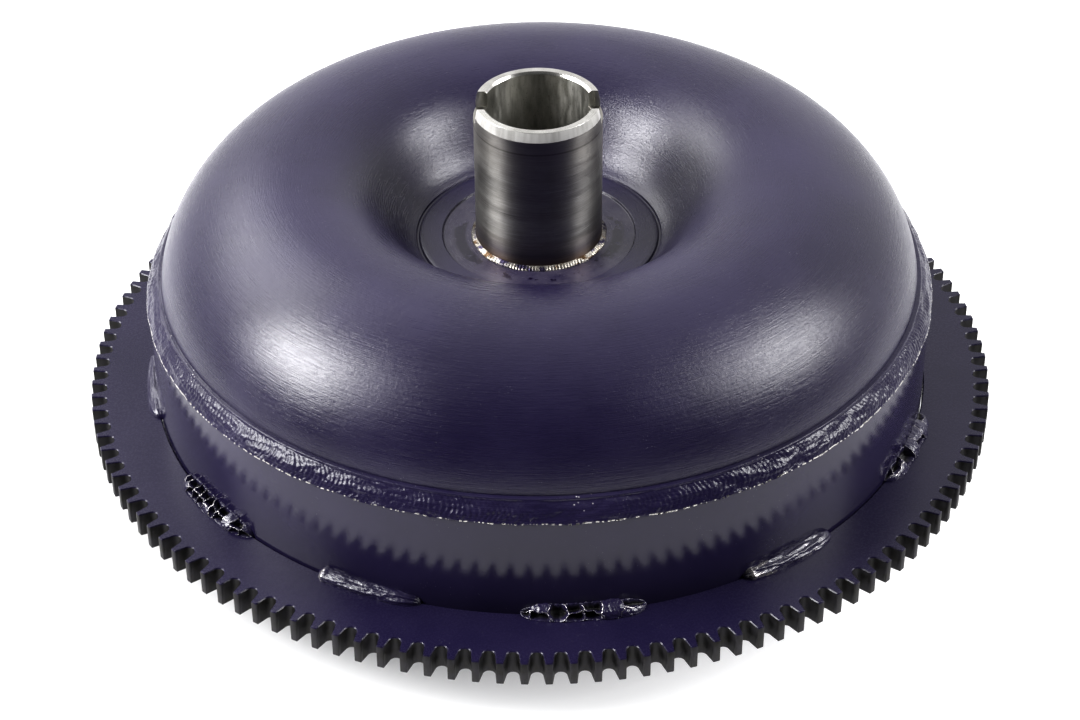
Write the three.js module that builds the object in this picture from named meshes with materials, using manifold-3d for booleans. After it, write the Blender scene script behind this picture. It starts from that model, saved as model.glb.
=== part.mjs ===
// Torque converter, standing neck up on its crankshaft pilot.
// Millimetres, +Z up. The origin is on the spin axis, at the end face of the pilot.
import * as THREE from 'three';
import { mergeVertices } from 'three/addons/utils/BufferGeometryUtils.js';
import Module from 'manifold-3d';

const wasm = await Module();
wasm.setup();

// ---------------------------------------------------------------- driving dimensions

const GAP = 0.3;                 // clearance between touching pieces
const ROUND = 40;                // facets round the large shells
const SMALL_ROUND = 24;          // facets round the hub and clutch pieces
const PIN_ROUND = 12;            // facets round rollers, plugs and small holes

const COVER_RADIUS = 143;        // outside of the front cover's wall
const COVER_THICKNESS = 5;
const COVER_FACE_Z = 14.5;       // outer part of the cover's flat face
const COVER_CENTRE_Z = 12;       // centre of the face, round the pilot
const COVER_CORNER = 8;          // bend between face and wall
const COVER_STEP = [62, 70];     // radii between which the face is dished
const COVER_INSIDE_BEND = 3;
const COVER_TOP_Z = 67;          // mouth of the cover
const COVER_LIP = [2.5, 4];      // radial and axial size of the bevel at the mouth

const PILOT_RADIUS = 19.7;
const PILOT_CHAMFER = 1.5;
const PILOT_STRAIGHT = 8;        // height of the straight part, below the flare
const PILOT_FLARE = 4;

const LUG_CIRCLE = 122;          // radius of the flexplate bolt circle
const LUG_FACE_Z = 8;
const LUG_HALF = 12.5;
const LUG_CORNER = 3;
const LUG_HOLE_RADIUS = 4.1;

const PLUG_CIRCLE = 100;
const PLUG_RADIUS = 7;
const PLUG_Z = 10.5;
const PLUG_SOCKET = [3.2, 2.5];  // radius and depth of the hexagon

const GEAR_TEETH = 130;
const GEAR_TIP_RADIUS = 167.64;
const GEAR_ROOT_RADIUS = 162.1;
const GEAR_BOTTOM_Z = 21;
const GEAR_THICKNESS = 9.5;
const GEAR_TOOTH_PHASE = 3.4205; // angle of the first tooth, radians
const TOOTH_TIP_WIDTH = 2.3;
const TOOTH_ROOT_WIDTH = 4.4;

const GEAR_WELD_ANGLES = [187, 217.5, 246, 275.5, 306, 336.5, 15.2, 49.5, 83.8, 118, 152.2];
const GEAR_WELD_SPAN = 16;       // degrees of one stitch weld
const GEAR_WELD_STEPS = 6;
// Section of a stitch weld as [radial, axial] points from the corner it fills.
const GEAR_WELD_SECTION = [[0, 0], [5.5, 0], [3.85, 2.75], [0, 4.4]];
// Section of the seam weld as [radius, height] points above the cover's mouth.
const SEAM_WELD_SECTION = [[0.4, 0.3], [0.2, 3], [-2, 7], [-4.4, 9.5], [-5.1, 9.5], [-5.1, 0.3]];

const DOME_RADIUS = 138.2;       // impeller shell at its widest
const DOME_BASE_Z = 71;
const DOME_CREST_RADIUS = 90;
const DOME_CREST_Z = 115.9;
const DOME_ROUNDNESS = 1.89;     // exponent of the shoulder's superellipse
const DOME_ARC = 7;              // chords in the shoulder and in the bowl
const DOME_INSIDE_ARC = 5;
const SKIRT_RADIUS = 137.6;      // rim that plugs into the cover
const SKIRT_BOTTOM_Z = 57;
const SHELL_THICKNESS = 4;
const POCKET_RADIUS = 44.4;      // flat floor round the pump hub
const POCKET_FLOOR_Z = 87;
const POCKET_STEP_RADIUS = 34.8;
const POCKET_STEP = 0.7;
const DOME_SEAT = [6, 4];        // height of the straight skirt above the base, outside and inside
const BOWL_CONTROL = [[55, 115.9], [56, 92]];

const HUB_RADIUS = 22.9;
const HUB_BORE_RADIUS = 18.9;
const HUB_TOP_Z = 142.6;
const HUB_CHAMFER = [0.75, 3.6]; // radial and axial size of the lead-in
const HUB_BORE_CHAMFER = 0.9;
const HUB_FLANGE_RADIUS = 32;
const HUB_FLANGE_Z = [78.5, 82.6];
const SLOT_WIDTH = 12;
const SLOT_DEPTH = 6.4;
// Section of the hub's fillet weld as [radial, axial] points from the corner it fills.
const HUB_WELD_SECTION = [[0, 0], [3, 0], [1.2, 1.4], [0, 2]];

const SPLIT_Z = 72;              // plane between impeller and turbine
const CORE_CENTRE_RADIUS = 93;
const CORE_SIZE = [20, 16];      // radial and axial half axes of the core ring
const CORE_THICKNESS = 1.6;
const CORE_GAP = 1.2;            // from the split plane to the core ring and the blades
const CORE_ARC = 3;              // chords in the core ring's half section
const BLADE_THICKNESS = 1.2;
const BLADE_ARC = 3;             // chords in the outer edge of a blade
const BLADE_CLEARANCE = 2.2;     // from the stator's shroud to the blades
// Outline of a blade: its outer radius, and its heights above the split plane.
const IMPELLER_BLADES = { count: 27, outer: 131.2, crest: 37.6, inner: 58, innerHeight: 23 };
const TURBINE_BLADES = { count: 29, outer: 127.8, crest: 36.8, inner: 60, innerHeight: 20 };

const TURBINE_RADIUS = 131.6;
const TURBINE_SHELL = 2;
const TURBINE_CLEARANCE = 2;     // from the split plane to the shell's rim
const TURBINE_CREST_Z = 30.1;
const TURBINE_CONE = { inner: 55, outer: 70, rise: 4 };
const TURBINE_ROUND = 36;
const TURBINE_ARC = 4;           // chords in the turbine shell's quarter section
const TURBINE_FLANGE_Z = [43, 45];
const TURBINE_HUB_FLANGE_Z = 38.5; // underside of the turbine hub's flange
const TURBINE_HUB_FLANGE_RADIUS = 50;
const TURBINE_HUB_FILLET = 3;
const TURBINE_NOSE = { radius: 28, low: 19.6, high: 24 };
const TURBINE_BARREL_RADIUS = 23;
const TURBINE_HUB_TOP_Z = 48;
const TURBINE_RIVETS = 6;
const RIVET_CIRCLE = 43;
const RIVET_RADIUS = 3;
const RIVET_HEAD = [1.6, 1.5];   // overhang and height of a rivet's head
const RIVET_ROUND = 8;

const STATOR_RIM = [37.2, 42];
const STATOR_SHROUD = [66, 68.5];
const STATOR_Z = [52, 81];
const STATOR_SHROUD_Z = [58, 78];
const STATOR_BLADES = 15;
// Section of a vane as [across, z] points, from its leading edge to its tail and back.
const VANE_SECTION = [[-5.5, 57], [-3, 57.6], [1.5, 66], [3.5, 79], [2.2, 79], [-1.6, 67.5]];

const RACE_RADIUS = 23.4;
const ROLLER_RADIUS = 4;
const ROLLERS = 8;
const ROLLER_CIRCLE = RACE_RADIUS + GAP + ROLLER_RADIUS;
const ROLLER_INSET = 2.2;        // from the end of the clutch to the end of a roller
const CAM_RADIUS = STATOR_RIM[0] - GAP;
// One ramp of the cam as [radius, degrees] points.
const CAM_RAMP = [[28.7, -13], [32.2, -11.5], [32.5, 0], [32.9, 11.5], [28.7, 13], [28.7, 22.5]];
const CAGE_RADII = [24.1, 28.1];
const CAGE_WINDOW = [16, 11.4, 10.4];
const RACE_SPLINE = { teeth: 20, tip: 15.4, root: 16.7 };
const TURBINE_SPLINE = { teeth: 24, tip: 11.2, root: 12.3 };
const SPLINE_ROOT_SHARE = 0.28;  // half width of a groove, as a share of the pitch
const SPLINE_TIP_SHARE = 0.38;   // where the next tooth starts
const PLATE_INNER = 18.6;
const PLATE_THICKNESS = 2.2;
const CLUTCH_WIDTH = 13.9;
const SNAP_RING_INNER = 33.2;
const SNAP_RING_THICKNESS = 1.5;
const SNAP_RING_OPENING = [12, 7, 6];

const BEARING_RADII = [20, 30];
const RACE_THICKNESS = 1.2;
const NEEDLES = 14;
const NEEDLE_RADIUS = 1.1;
const NEEDLE_ROUND = 5;
const NEEDLE_INSET = 1.5;        // from the races' edges to the ends of the needles
const BEARING_CAGE = { inner: 20.5, outer: 29.6, thickness: 1.2 };
const THRUST_WASHER = { inner: 14, outer: 28, low: 17.3, high: 19.3 };

// Underside of each piece in the stack between the turbine hub and the pump hub.
const FRONT_RACE_Z = TURBINE_HUB_TOP_Z + GAP;
const FRONT_CAGE_Z = FRONT_RACE_Z + RACE_THICKNESS + GAP;
const FRONT_STATOR_RACE_Z = FRONT_CAGE_Z + 2 * NEEDLE_RADIUS + GAP;
const FRONT_PLATE_Z = FRONT_STATOR_RACE_Z + RACE_THICKNESS + GAP;
const FRONT_SNAP_RING_Z = FRONT_PLATE_Z - GAP - SNAP_RING_THICKNESS;
const CLUTCH_LOW_Z = FRONT_PLATE_Z + PLATE_THICKNESS + GAP;
const CLUTCH_HIGH_Z = CLUTCH_LOW_Z + CLUTCH_WIDTH;
const REAR_PLATE_Z = CLUTCH_HIGH_Z + GAP;
const REAR_STATOR_RACE_Z = REAR_PLATE_Z + PLATE_THICKNESS + GAP;
const REAR_CAGE_Z = REAR_STATOR_RACE_Z + RACE_THICKNESS + GAP;
const REAR_HUB_RACE_Z = REAR_CAGE_Z + 2 * NEEDLE_RADIUS + GAP;

// ---------------------------------------------------------------- finishes

const PAINT = { color: 0x3a3158, roughness: 0.28, metalness: 0.35 };
const WELD_PAINT = { color: 0x332b4c, roughness: 0.4, metalness: 0.4 };
const GEAR_STEEL = { color: 0x38324a, roughness: 0.45, metalness: 0.5 };
const GROUND_STEEL = { color: 0x55534f, roughness: 0.32, metalness: 0.95 };
const BRIGHT_STEEL = { color: 0xb4b3ae, roughness: 0.25, metalness: 1 };
const SHEET_STEEL = { color: 0x7a7874, roughness: 0.4, metalness: 0.9 };
const ALUMINIUM = { color: 0xb9bab8, roughness: 0.5, metalness: 0.9 };
const BRONZE = { color: 0xa5793f, roughness: 0.4, metalness: 0.9 };

// ---------------------------------------------------------------- helpers

const radians = THREE.MathUtils.degToRad;

function polar(radius, angle) {
  return new THREE.Vector2(radius * Math.cos(angle), radius * Math.sin(angle));
}

// A solid turned about the spin axis from a closed outline of [radius, z] points.
function turned(outline, facets = ROUND) {
  const points = outline.map(([radius, z]) => new THREE.Vector2(radius, z));
  if (THREE.ShapeUtils.area(points) < 0) points.reverse();
  points.push(points[0].clone());
  return new THREE.LatheGeometry(points, facets).rotateX(Math.PI / 2);
}

function washer(inner, outer, low, high, facets = SMALL_ROUND) {
  return turned([[inner, low], [outer, low], [outer, high], [inner, high]], facets);
}

// A solid disc whose outline starts and ends on the spin axis.
function turnedDisc(outline, facets = SMALL_ROUND) {
  const points = outline.map(([radius, z]) => new THREE.Vector2(radius, z));
  return new THREE.LatheGeometry(points, facets).rotateX(Math.PI / 2);
}

function extruded(shape, low, high) {
  const options = { depth: high - low, bevelEnabled: false, curveSegments: 1 };
  return new THREE.ExtrudeGeometry(shape, options).translate(0, 0, low);
}

function ringOf(radius, facets) {
  const points = [];
  for (let i = 0; i < facets; i += 1) points.push(polar(radius, (i / facets) * 2 * Math.PI));
  return points;
}

function toSolid(geometry) {
  const plain = geometry.clone();
  plain.deleteAttribute('normal');
  plain.deleteAttribute('uv');
  const merged = mergeVertices(plain, 1e-4);
  const corners = Array.from(merged.index.array);
  const kept = [];
  for (let i = 0; i < corners.length; i += 3) {
    const [a, b, c] = corners.slice(i, i + 3);
    if (a !== b && b !== c && c !== a) kept.push(a, b, c);
  }
  return new wasm.Manifold(new wasm.Mesh({
    numProp: 3,
    vertProperties: new Float32Array(merged.attributes.position.array),
    triVerts: new Uint32Array(kept),
  }));
}

function toGeometry(solid) {
  const { vertProperties, triVerts } = solid.getMesh();
  const geometry = new THREE.BufferGeometry();
  geometry.setAttribute('position', new THREE.BufferAttribute(vertProperties, 3));
  geometry.setIndex(new THREE.BufferAttribute(triVerts, 1));
  return geometry;
}

function cut(body, ...tools) {
  let solid = toSolid(body);
  for (const tool of tools) solid = solid.subtract(toSolid(tool));
  return toGeometry(solid);
}

function joined(...bodies) {
  let solid = toSolid(bodies[0]);
  for (const body of bodies.slice(1)) solid = solid.add(toSolid(body));
  return toGeometry(solid);
}

function around(count, make) {
  return Array.from({ length: count }, (_, i) => make((i / count) * 2 * Math.PI, i));
}

function piece(name, geometry, finish) {
  const mesh = new THREE.Mesh(geometry, new THREE.MeshStandardMaterial(finish));
  mesh.name = name;
  return mesh;
}

// ---------------------------------------------------------------- curves of the torus

// Shoulder of the dome from its widest radius up to the crest, drawn in by an inset.
function shoulder(inset, count) {
  const width = DOME_RADIUS - DOME_CREST_RADIUS - inset;
  const height = DOME_CREST_Z - DOME_BASE_Z - inset;
  const power = 2 / DOME_ROUNDNESS;
  const points = [];
  for (let i = 1; i <= count; i += 1) {
    const t = (i / count) * (Math.PI / 2);
    points.push([
      DOME_CREST_RADIUS + width * Math.cos(t) ** power,
      DOME_BASE_Z + height * Math.sin(t) ** power,
    ]);
  }
  return points;
}

// Bowl from the crest down to the pocket's floor, moved inward by an inset.
function bowl(inset, count) {
  const start = new THREE.Vector2(DOME_CREST_RADIUS, DOME_CREST_Z);
  const controls = BOWL_CONTROL.map(([radius, z]) => new THREE.Vector2(radius, z));
  const end = new THREE.Vector2(POCKET_RADIUS, POCKET_FLOOR_Z);
  const curve = new THREE.CubicBezierCurve(start, controls[0], controls[1], end);
  const points = [];
  for (let i = 1; i <= count; i += 1) {
    const at = curve.getPoint(i / count);
    const along = curve.getTangent(i / count);
    points.push([at.x - along.y * inset, at.y + along.x * inset]);
  }
  return points;
}

// ---------------------------------------------------------------- housing

function frontCover() {
  const wallFoot = COVER_FACE_Z + COVER_CORNER;
  const corner = [-90, -60, -30, 0].map((degrees) => [
    COVER_RADIUS - COVER_CORNER + COVER_CORNER * Math.cos(radians(degrees)),
    wallFoot + COVER_CORNER * Math.sin(radians(degrees)),
  ]);
  const [stepInner, stepOuter] = COVER_STEP;
  const [lipWidth, lipHeight] = COVER_LIP;
  const insideRadius = COVER_RADIUS - COVER_THICKNESS;
  const insideFace = COVER_FACE_Z + COVER_THICKNESS;
  return turnedDisc([
    [0, COVER_CENTRE_Z],
    [stepInner, COVER_CENTRE_Z],
    [stepOuter, COVER_FACE_Z],
    ...corner,
    [COVER_RADIUS, COVER_TOP_Z - lipHeight],
    [COVER_RADIUS - lipWidth, COVER_TOP_Z],
    [insideRadius, COVER_TOP_Z],
    [insideRadius, insideFace + COVER_INSIDE_BEND],
    [insideRadius - COVER_INSIDE_BEND, insideFace],
    [stepOuter - COVER_THICKNESS / 2, insideFace],
    [stepInner - COVER_THICKNESS / 2, COVER_CENTRE_Z + COVER_THICKNESS],
    [0, COVER_CENTRE_Z + COVER_THICKNESS],
  ], ROUND);
}

function crankPilot() {
  return turnedDisc([
    [0, 0],
    [PILOT_RADIUS - PILOT_CHAMFER, 0],
    [PILOT_RADIUS, PILOT_CHAMFER],
    [PILOT_RADIUS, PILOT_STRAIGHT],
    [PILOT_RADIUS + PILOT_FLARE, COVER_CENTRE_Z - GAP],
    [0, COVER_CENTRE_Z - GAP],
  ]);
}

function mountingLug(angle) {
  const half = LUG_HALF;
  const edge = half - LUG_CORNER;
  const outline = [
    [-half, -edge], [-edge, -half], [edge, -half], [half, -edge],
    [half, edge], [edge, half], [-edge, half], [-half, edge],
  ];
  const shape = new THREE.Shape(outline.map(([x, y]) => new THREE.Vector2(x, y)));
  shape.holes.push(new THREE.Path(ringOf(LUG_HOLE_RADIUS, PIN_ROUND).reverse()));
  const lug = extruded(shape, LUG_FACE_Z, COVER_FACE_Z - GAP);
  return lug.translate(LUG_CIRCLE, 0, 0).rotateZ(angle);
}

// Drain plug: a round head with a hexagon socket, seated on the cover's face.
function drainPlug(angle) {
  const [socketRadius, socketDepth] = PLUG_SOCKET;
  const disc = new THREE.Shape(ringOf(PLUG_RADIUS, PIN_ROUND));
  const hexagon = new THREE.Shape(ringOf(socketRadius, 6));
  const head = extruded(disc, PLUG_Z, COVER_FACE_Z - GAP);
  const socket = extruded(hexagon, PLUG_Z - 1, PLUG_Z + socketDepth);
  return cut(head, socket).translate(PLUG_CIRCLE, 0, 0).rotateZ(angle);
}

function ringGear() {
  const tipHalf = TOOTH_TIP_WIDTH / 2 / GEAR_TIP_RADIUS;
  const rootHalf = TOOTH_ROOT_WIDTH / 2 / GEAR_ROOT_RADIUS;
  const outline = [];
  for (let i = 0; i < GEAR_TEETH; i += 1) {
    const middle = GEAR_TOOTH_PHASE + (i / GEAR_TEETH) * 2 * Math.PI;
    outline.push(polar(GEAR_ROOT_RADIUS, middle - rootHalf));
    outline.push(polar(GEAR_TIP_RADIUS, middle - tipHalf));
    outline.push(polar(GEAR_TIP_RADIUS, middle + tipHalf));
    outline.push(polar(GEAR_ROOT_RADIUS, middle + rootHalf));
  }
  const shape = new THREE.Shape(outline);
  const bore = ringOf((COVER_RADIUS + GAP) / Math.cos(Math.PI / ROUND), ROUND);
  shape.holes.push(new THREE.Path(bore.reverse()));
  return extruded(shape, GEAR_BOTTOM_Z, GEAR_BOTTOM_Z + GEAR_THICKNESS);
}

// One stitch of weld in the corner between the cover's wall and the gear.
function ringGearWeld(degrees) {
  const foot = GEAR_BOTTOM_Z + GEAR_THICKNESS + GAP;
  const wall = COVER_RADIUS + GAP;
  const points = GEAR_WELD_SECTION.map(([out, up]) => new THREE.Vector2(wall + out, foot + up));
  const half = radians(GEAR_WELD_SPAN / 2);
  const options = { depth: 1, steps: GEAR_WELD_STEPS, bevelEnabled: false };
  const bar = new THREE.ExtrudeGeometry(new THREE.Shape(points), options);
  const at = bar.attributes.position;
  for (let i = 0; i < at.count; i += 1) {
    const angle = radians(degrees) + half * (1 - 2 * at.getZ(i));
    const radius = at.getX(i);
    at.setXYZ(i, radius * Math.cos(angle), radius * Math.sin(angle), at.getY(i));
  }
  return bar;
}

function seamWeld() {
  return turned(SEAM_WELD_SECTION.map(([out, up]) => [COVER_RADIUS + out, COVER_TOP_Z + up]));
}

function impellerShell() {
  const skirtInside = SKIRT_RADIUS - SHELL_THICKNESS;
  const floorBottom = POCKET_FLOOR_Z - SHELL_THICKNESS;
  const bore = HUB_RADIUS + GAP;
  const [seatOutside, seatInside] = DOME_SEAT.map((height) => DOME_BASE_Z + height);
  const outside = [
    [SKIRT_RADIUS, SKIRT_BOTTOM_Z],
    [SKIRT_RADIUS, seatOutside],
    ...shoulder(0, DOME_ARC).filter(([, z]) => z > seatOutside + 1),
    ...bowl(0, DOME_ARC),
    [POCKET_STEP_RADIUS, POCKET_FLOOR_Z],
    [POCKET_STEP_RADIUS - POCKET_STEP, POCKET_FLOOR_Z - POCKET_STEP],
    [bore, POCKET_FLOOR_Z - POCKET_STEP],
  ];
  const inside = [
    [skirtInside, SKIRT_BOTTOM_Z],
    [skirtInside, seatInside],
    ...shoulder(SHELL_THICKNESS, DOME_INSIDE_ARC).filter(([, z]) => z > seatInside + 2),
    ...bowl(SHELL_THICKNESS, DOME_INSIDE_ARC).filter(([, z]) => z > floorBottom + 0.5),
    [POCKET_RADIUS, floorBottom],
    [bore, floorBottom],
  ];
  return turned([...outside, ...inside.reverse()]);
}

function pumpHub() {
  const [chamferRadius, chamferHeight] = HUB_CHAMFER;
  const [flangeBottom, flangeTop] = HUB_FLANGE_Z;
  const body = turned([
    [HUB_BORE_RADIUS, flangeBottom],
    [HUB_FLANGE_RADIUS, flangeBottom],
    [HUB_FLANGE_RADIUS, flangeTop],
    [HUB_RADIUS, flangeTop],
    [HUB_RADIUS, HUB_TOP_Z - chamferHeight],
    [HUB_RADIUS - chamferRadius, HUB_TOP_Z],
    [HUB_BORE_RADIUS + HUB_BORE_CHAMFER, HUB_TOP_Z],
    [HUB_BORE_RADIUS, HUB_TOP_Z - HUB_BORE_CHAMFER],
  ]);
  const slot = new THREE.BoxGeometry(4 * HUB_RADIUS, SLOT_WIDTH, 2 * SLOT_DEPTH);
  return cut(body, slot.translate(0, 0, HUB_TOP_Z));
}

function hubWeld() {
  const floor = POCKET_FLOOR_Z - POCKET_STEP + GAP;
  const inner = HUB_RADIUS + GAP;
  return turned(HUB_WELD_SECTION.map(([out, up]) => [inner + out, floor + up]));
}

// ---------------------------------------------------------------- torus blades

// Core ring: half of a hollow doughnut, opening toward the split plane.
function coreRing(side, facets) {
  const section = [...coreArc(0, CORE_GAP), ...coreArc(CORE_THICKNESS, CORE_GAP).reverse()];
  return turned(section.map(([radius, up]) => [radius, SPLIT_Z + side * up]), facets);
}

// Half section of the core ring as [radius, height above the split plane] points.
function coreArc(shrink, lift) {
  const points = [];
  for (let i = 0; i <= CORE_ARC; i += 1) {
    const t = (i / CORE_ARC) * Math.PI;
    points.push([
      CORE_CENTRE_RADIUS + (CORE_SIZE[0] - shrink) * Math.cos(t),
      lift + (CORE_SIZE[1] - shrink) * Math.sin(t),
    ]);
  }
  return points;
}

// One blade: a thin plate in a plane through the axis, between shell and core ring.
function blade(outline, angle) {
  const shape = new THREE.Shape(outline.map(([radius, z]) => new THREE.Vector2(radius, z)));
  const options = { depth: BLADE_THICKNESS, bevelEnabled: false };
  const plate = new THREE.ExtrudeGeometry(shape, options).translate(0, 0, -BLADE_THICKNESS / 2);
  return plate.rotateX(Math.PI / 2).rotateZ(angle);
}

function bladeRing(side, blades) {
  const outline = bladeOutline(blades).map(([radius, up]) => [radius, SPLIT_Z + side * up]);
  const offset = Math.PI / blades.count - Math.PI / 2;
  const plates = around(blades.count, (angle) => blade(outline, angle + offset));
  return joined(coreRing(side, blades.count), ...plates);
}

// Outline of a blade as [radius, height above the split plane] points: the edge along the
// shell, the edge that faces the stator, and the edge along the core ring.
function bladeOutline({ outer, crest, inner, innerHeight }) {
  const points = [];
  const width = outer - DOME_CREST_RADIUS;
  for (let i = 0; i <= BLADE_ARC; i += 1) {
    const t = (i / BLADE_ARC) * (Math.PI / 2);
    points.push([
      DOME_CREST_RADIUS + width * Math.cos(t),
      CORE_GAP + (crest - CORE_GAP) * Math.sin(t),
    ]);
  }
  points.push([(DOME_CREST_RADIUS + inner) / 2 - 3, crest - 6]);
  points.push([inner, innerHeight]);
  points.push([STATOR_SHROUD[1] + BLADE_CLEARANCE, CORE_SIZE[1] + 1]);
  points.push(...coreArc(CORE_THICKNESS / 2, CORE_GAP + CORE_THICKNESS / 2).reverse());
  return points;
}

// ---------------------------------------------------------------- turbine

function turbineShell() {
  const rim = SPLIT_Z - TURBINE_CLEARANCE;
  const width = TURBINE_RADIUS - DOME_CREST_RADIUS;
  const height = rim - TURBINE_CREST_Z;
  const [flangeBottom, flangeTop] = TURBINE_FLANGE_Z;
  const arc = (inset) => {
    const points = [];
    for (let i = 0; i <= TURBINE_ARC; i += 1) {
      const t = (i / TURBINE_ARC) * (Math.PI / 2);
      points.push([
        DOME_CREST_RADIUS + (width - inset) * Math.cos(t),
        rim - (height - inset) * Math.sin(t),
      ]);
    }
    return points;
  };
  const bore = HUB_FLANGE_RADIUS;
  const coneLow = TURBINE_CREST_Z + TURBINE_CONE.rise;
  const body = turned([
    ...arc(0),
    [TURBINE_CONE.outer, coneLow],
    [TURBINE_CONE.inner, flangeBottom],
    [bore, flangeBottom],
    [bore, flangeTop],
    [TURBINE_CONE.inner + TURBINE_SHELL / 2, flangeTop],
    [TURBINE_CONE.outer + TURBINE_SHELL / 2, coneLow + TURBINE_SHELL],
    ...arc(TURBINE_SHELL).reverse(),
  ], TURBINE_ROUND);
  const holes = around(TURBINE_RIVETS, (angle) => rivetHole(angle));
  return cut(body, ...holes);
}

function rivetHole(angle) {
  const disc = new THREE.Shape(ringOf(RIVET_RADIUS + GAP, RIVET_ROUND));
  const pin = extruded(disc, TURBINE_HUB_FLANGE_Z - 1, TURBINE_FLANGE_Z[1] + 1);
  return pin.translate(RIVET_CIRCLE, 0, 0).rotateZ(angle);
}

function turbineRivet(angle) {
  const low = TURBINE_HUB_FLANGE_Z - GAP;
  const high = TURBINE_FLANGE_Z[1] + GAP;
  const [overhang, height] = RIVET_HEAD;
  const rivet = turnedDisc([
    [0, low - height],
    [RIVET_RADIUS + overhang, low - height],
    [RIVET_RADIUS + overhang, low],
    [RIVET_RADIUS, low],
    [RIVET_RADIUS, high],
    [RIVET_RADIUS + overhang, high],
    [RIVET_RADIUS + overhang / 2, high + height],
    [0, high + height],
  ], RIVET_ROUND);
  return rivet.translate(RIVET_CIRCLE, 0, 0).rotateZ(angle);
}

function splineHole({ teeth, tip, root }) {
  const points = [];
  const step = (2 * Math.PI) / teeth;
  for (let i = 0; i < teeth; i += 1) {
    points.push(polar(root, (i - SPLINE_ROOT_SHARE) * step));
    points.push(polar(root, (i + SPLINE_ROOT_SHARE) * step));
    points.push(polar(tip, (i + SPLINE_TIP_SHARE) * step));
    points.push(polar(tip, (i + 1 - SPLINE_TIP_SHARE) * step));
  }
  return new THREE.Shape(points);
}

function turbineHub() {
  const flangeTop = TURBINE_FLANGE_Z[0] - GAP;
  const barrel = TURBINE_BARREL_RADIUS;
  const fillet = TURBINE_HUB_FILLET;
  const spigot = HUB_FLANGE_RADIUS - GAP - 1;
  const body = turnedDisc([
    [0, TURBINE_NOSE.low],
    [TURBINE_NOSE.radius, TURBINE_NOSE.low],
    [TURBINE_NOSE.radius, TURBINE_NOSE.high],
    [barrel, TURBINE_NOSE.high + fillet],
    [barrel, TURBINE_HUB_FLANGE_Z - fillet],
    [barrel + fillet, TURBINE_HUB_FLANGE_Z],
    [TURBINE_HUB_FLANGE_RADIUS, TURBINE_HUB_FLANGE_Z],
    [TURBINE_HUB_FLANGE_RADIUS, flangeTop],
    [spigot, flangeTop],
    [spigot, TURBINE_HUB_TOP_Z],
    [0, TURBINE_HUB_TOP_Z],
  ]);
  const bore = extruded(splineHole(TURBINE_SPLINE), TURBINE_NOSE.low - 1, TURBINE_HUB_TOP_Z + 1);
  const holes = around(TURBINE_RIVETS, (angle) => rivetHole(angle));
  return cut(body, bore, ...holes);
}

// ---------------------------------------------------------------- stator and clutch

// Stator vane: a cambered plate standing across the flow, from rim to shroud.
function statorVane(angle) {
  const shape = new THREE.Shape(VANE_SECTION.map(([across, z]) => new THREE.Vector2(across, z)));
  const start = STATOR_RIM[1] - 1;
  const reach = STATOR_SHROUD[0] + 1 - start;
  const vane = new THREE.ExtrudeGeometry(shape, { depth: reach, bevelEnabled: false });
  return vane.rotateX(Math.PI / 2).translate(0, -start, 0).rotateZ(angle);
}

function statorWheel() {
  const rim = washer(...STATOR_RIM, ...STATOR_Z);
  const shroud = washer(...STATOR_SHROUD, ...STATOR_SHROUD_Z);
  const vanes = around(STATOR_BLADES, (angle) => statorVane(angle));
  return joined(rim, shroud, ...vanes);
}

function clutchCam() {
  const inner = [];
  for (let i = 0; i < ROLLERS; i += 1) {
    const middle = (i / ROLLERS) * 360;
    inner.push(...CAM_RAMP.map(([radius, offset]) => polar(radius, radians(middle + offset))));
  }
  const shape = new THREE.Shape(ringOf(CAM_RADIUS, SMALL_ROUND));
  shape.holes.push(new THREE.Path(inner.reverse()));
  return extruded(shape, CLUTCH_LOW_Z, CLUTCH_HIGH_Z);
}

function clutchCage() {
  const ring = washer(...CAGE_RADII, CLUTCH_LOW_Z + GAP, CLUTCH_HIGH_Z - GAP);
  const middle = (CLUTCH_LOW_Z + CLUTCH_HIGH_Z) / 2;
  const windows = around(ROLLERS, (angle) => {
    const box = new THREE.BoxGeometry(...CAGE_WINDOW);
    return box.translate(ROLLER_CIRCLE, 0, middle).rotateZ(angle);
  });
  return cut(ring, ...windows);
}

function clutchRoller(angle) {
  const disc = new THREE.Shape(ringOf(ROLLER_RADIUS, PIN_ROUND));
  const roller = extruded(disc, CLUTCH_LOW_Z + ROLLER_INSET, CLUTCH_HIGH_Z - ROLLER_INSET);
  return roller.translate(ROLLER_CIRCLE, 0, 0).rotateZ(angle);
}

function clutchInnerRace() {
  const shape = new THREE.Shape(ringOf(RACE_RADIUS, SMALL_ROUND));
  shape.holes.push(new THREE.Path(splineHole(RACE_SPLINE).getPoints().reverse()));
  return extruded(shape, CLUTCH_LOW_Z, CLUTCH_HIGH_Z);
}

// Plate that closes the clutch at one side.
function sidePlate(low) {
  return washer(PLATE_INNER, CAM_RADIUS, low, low + PLATE_THICKNESS);
}

function thrustWasher() {
  const { inner, outer, low, high } = THRUST_WASHER;
  return washer(inner, outer, low, high);
}

// Open snap ring with a gap of a few degrees.
function snapRing(low) {
  const ring = washer(SNAP_RING_INNER, CAM_RADIUS, low, low + SNAP_RING_THICKNESS);
  const opening = new THREE.BoxGeometry(...SNAP_RING_OPENING);
  return cut(ring, opening.translate(CAM_RADIUS, 0, low));
}

function bearingRace(low) {
  return washer(...BEARING_RADII, low, low + RACE_THICKNESS);
}

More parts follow.
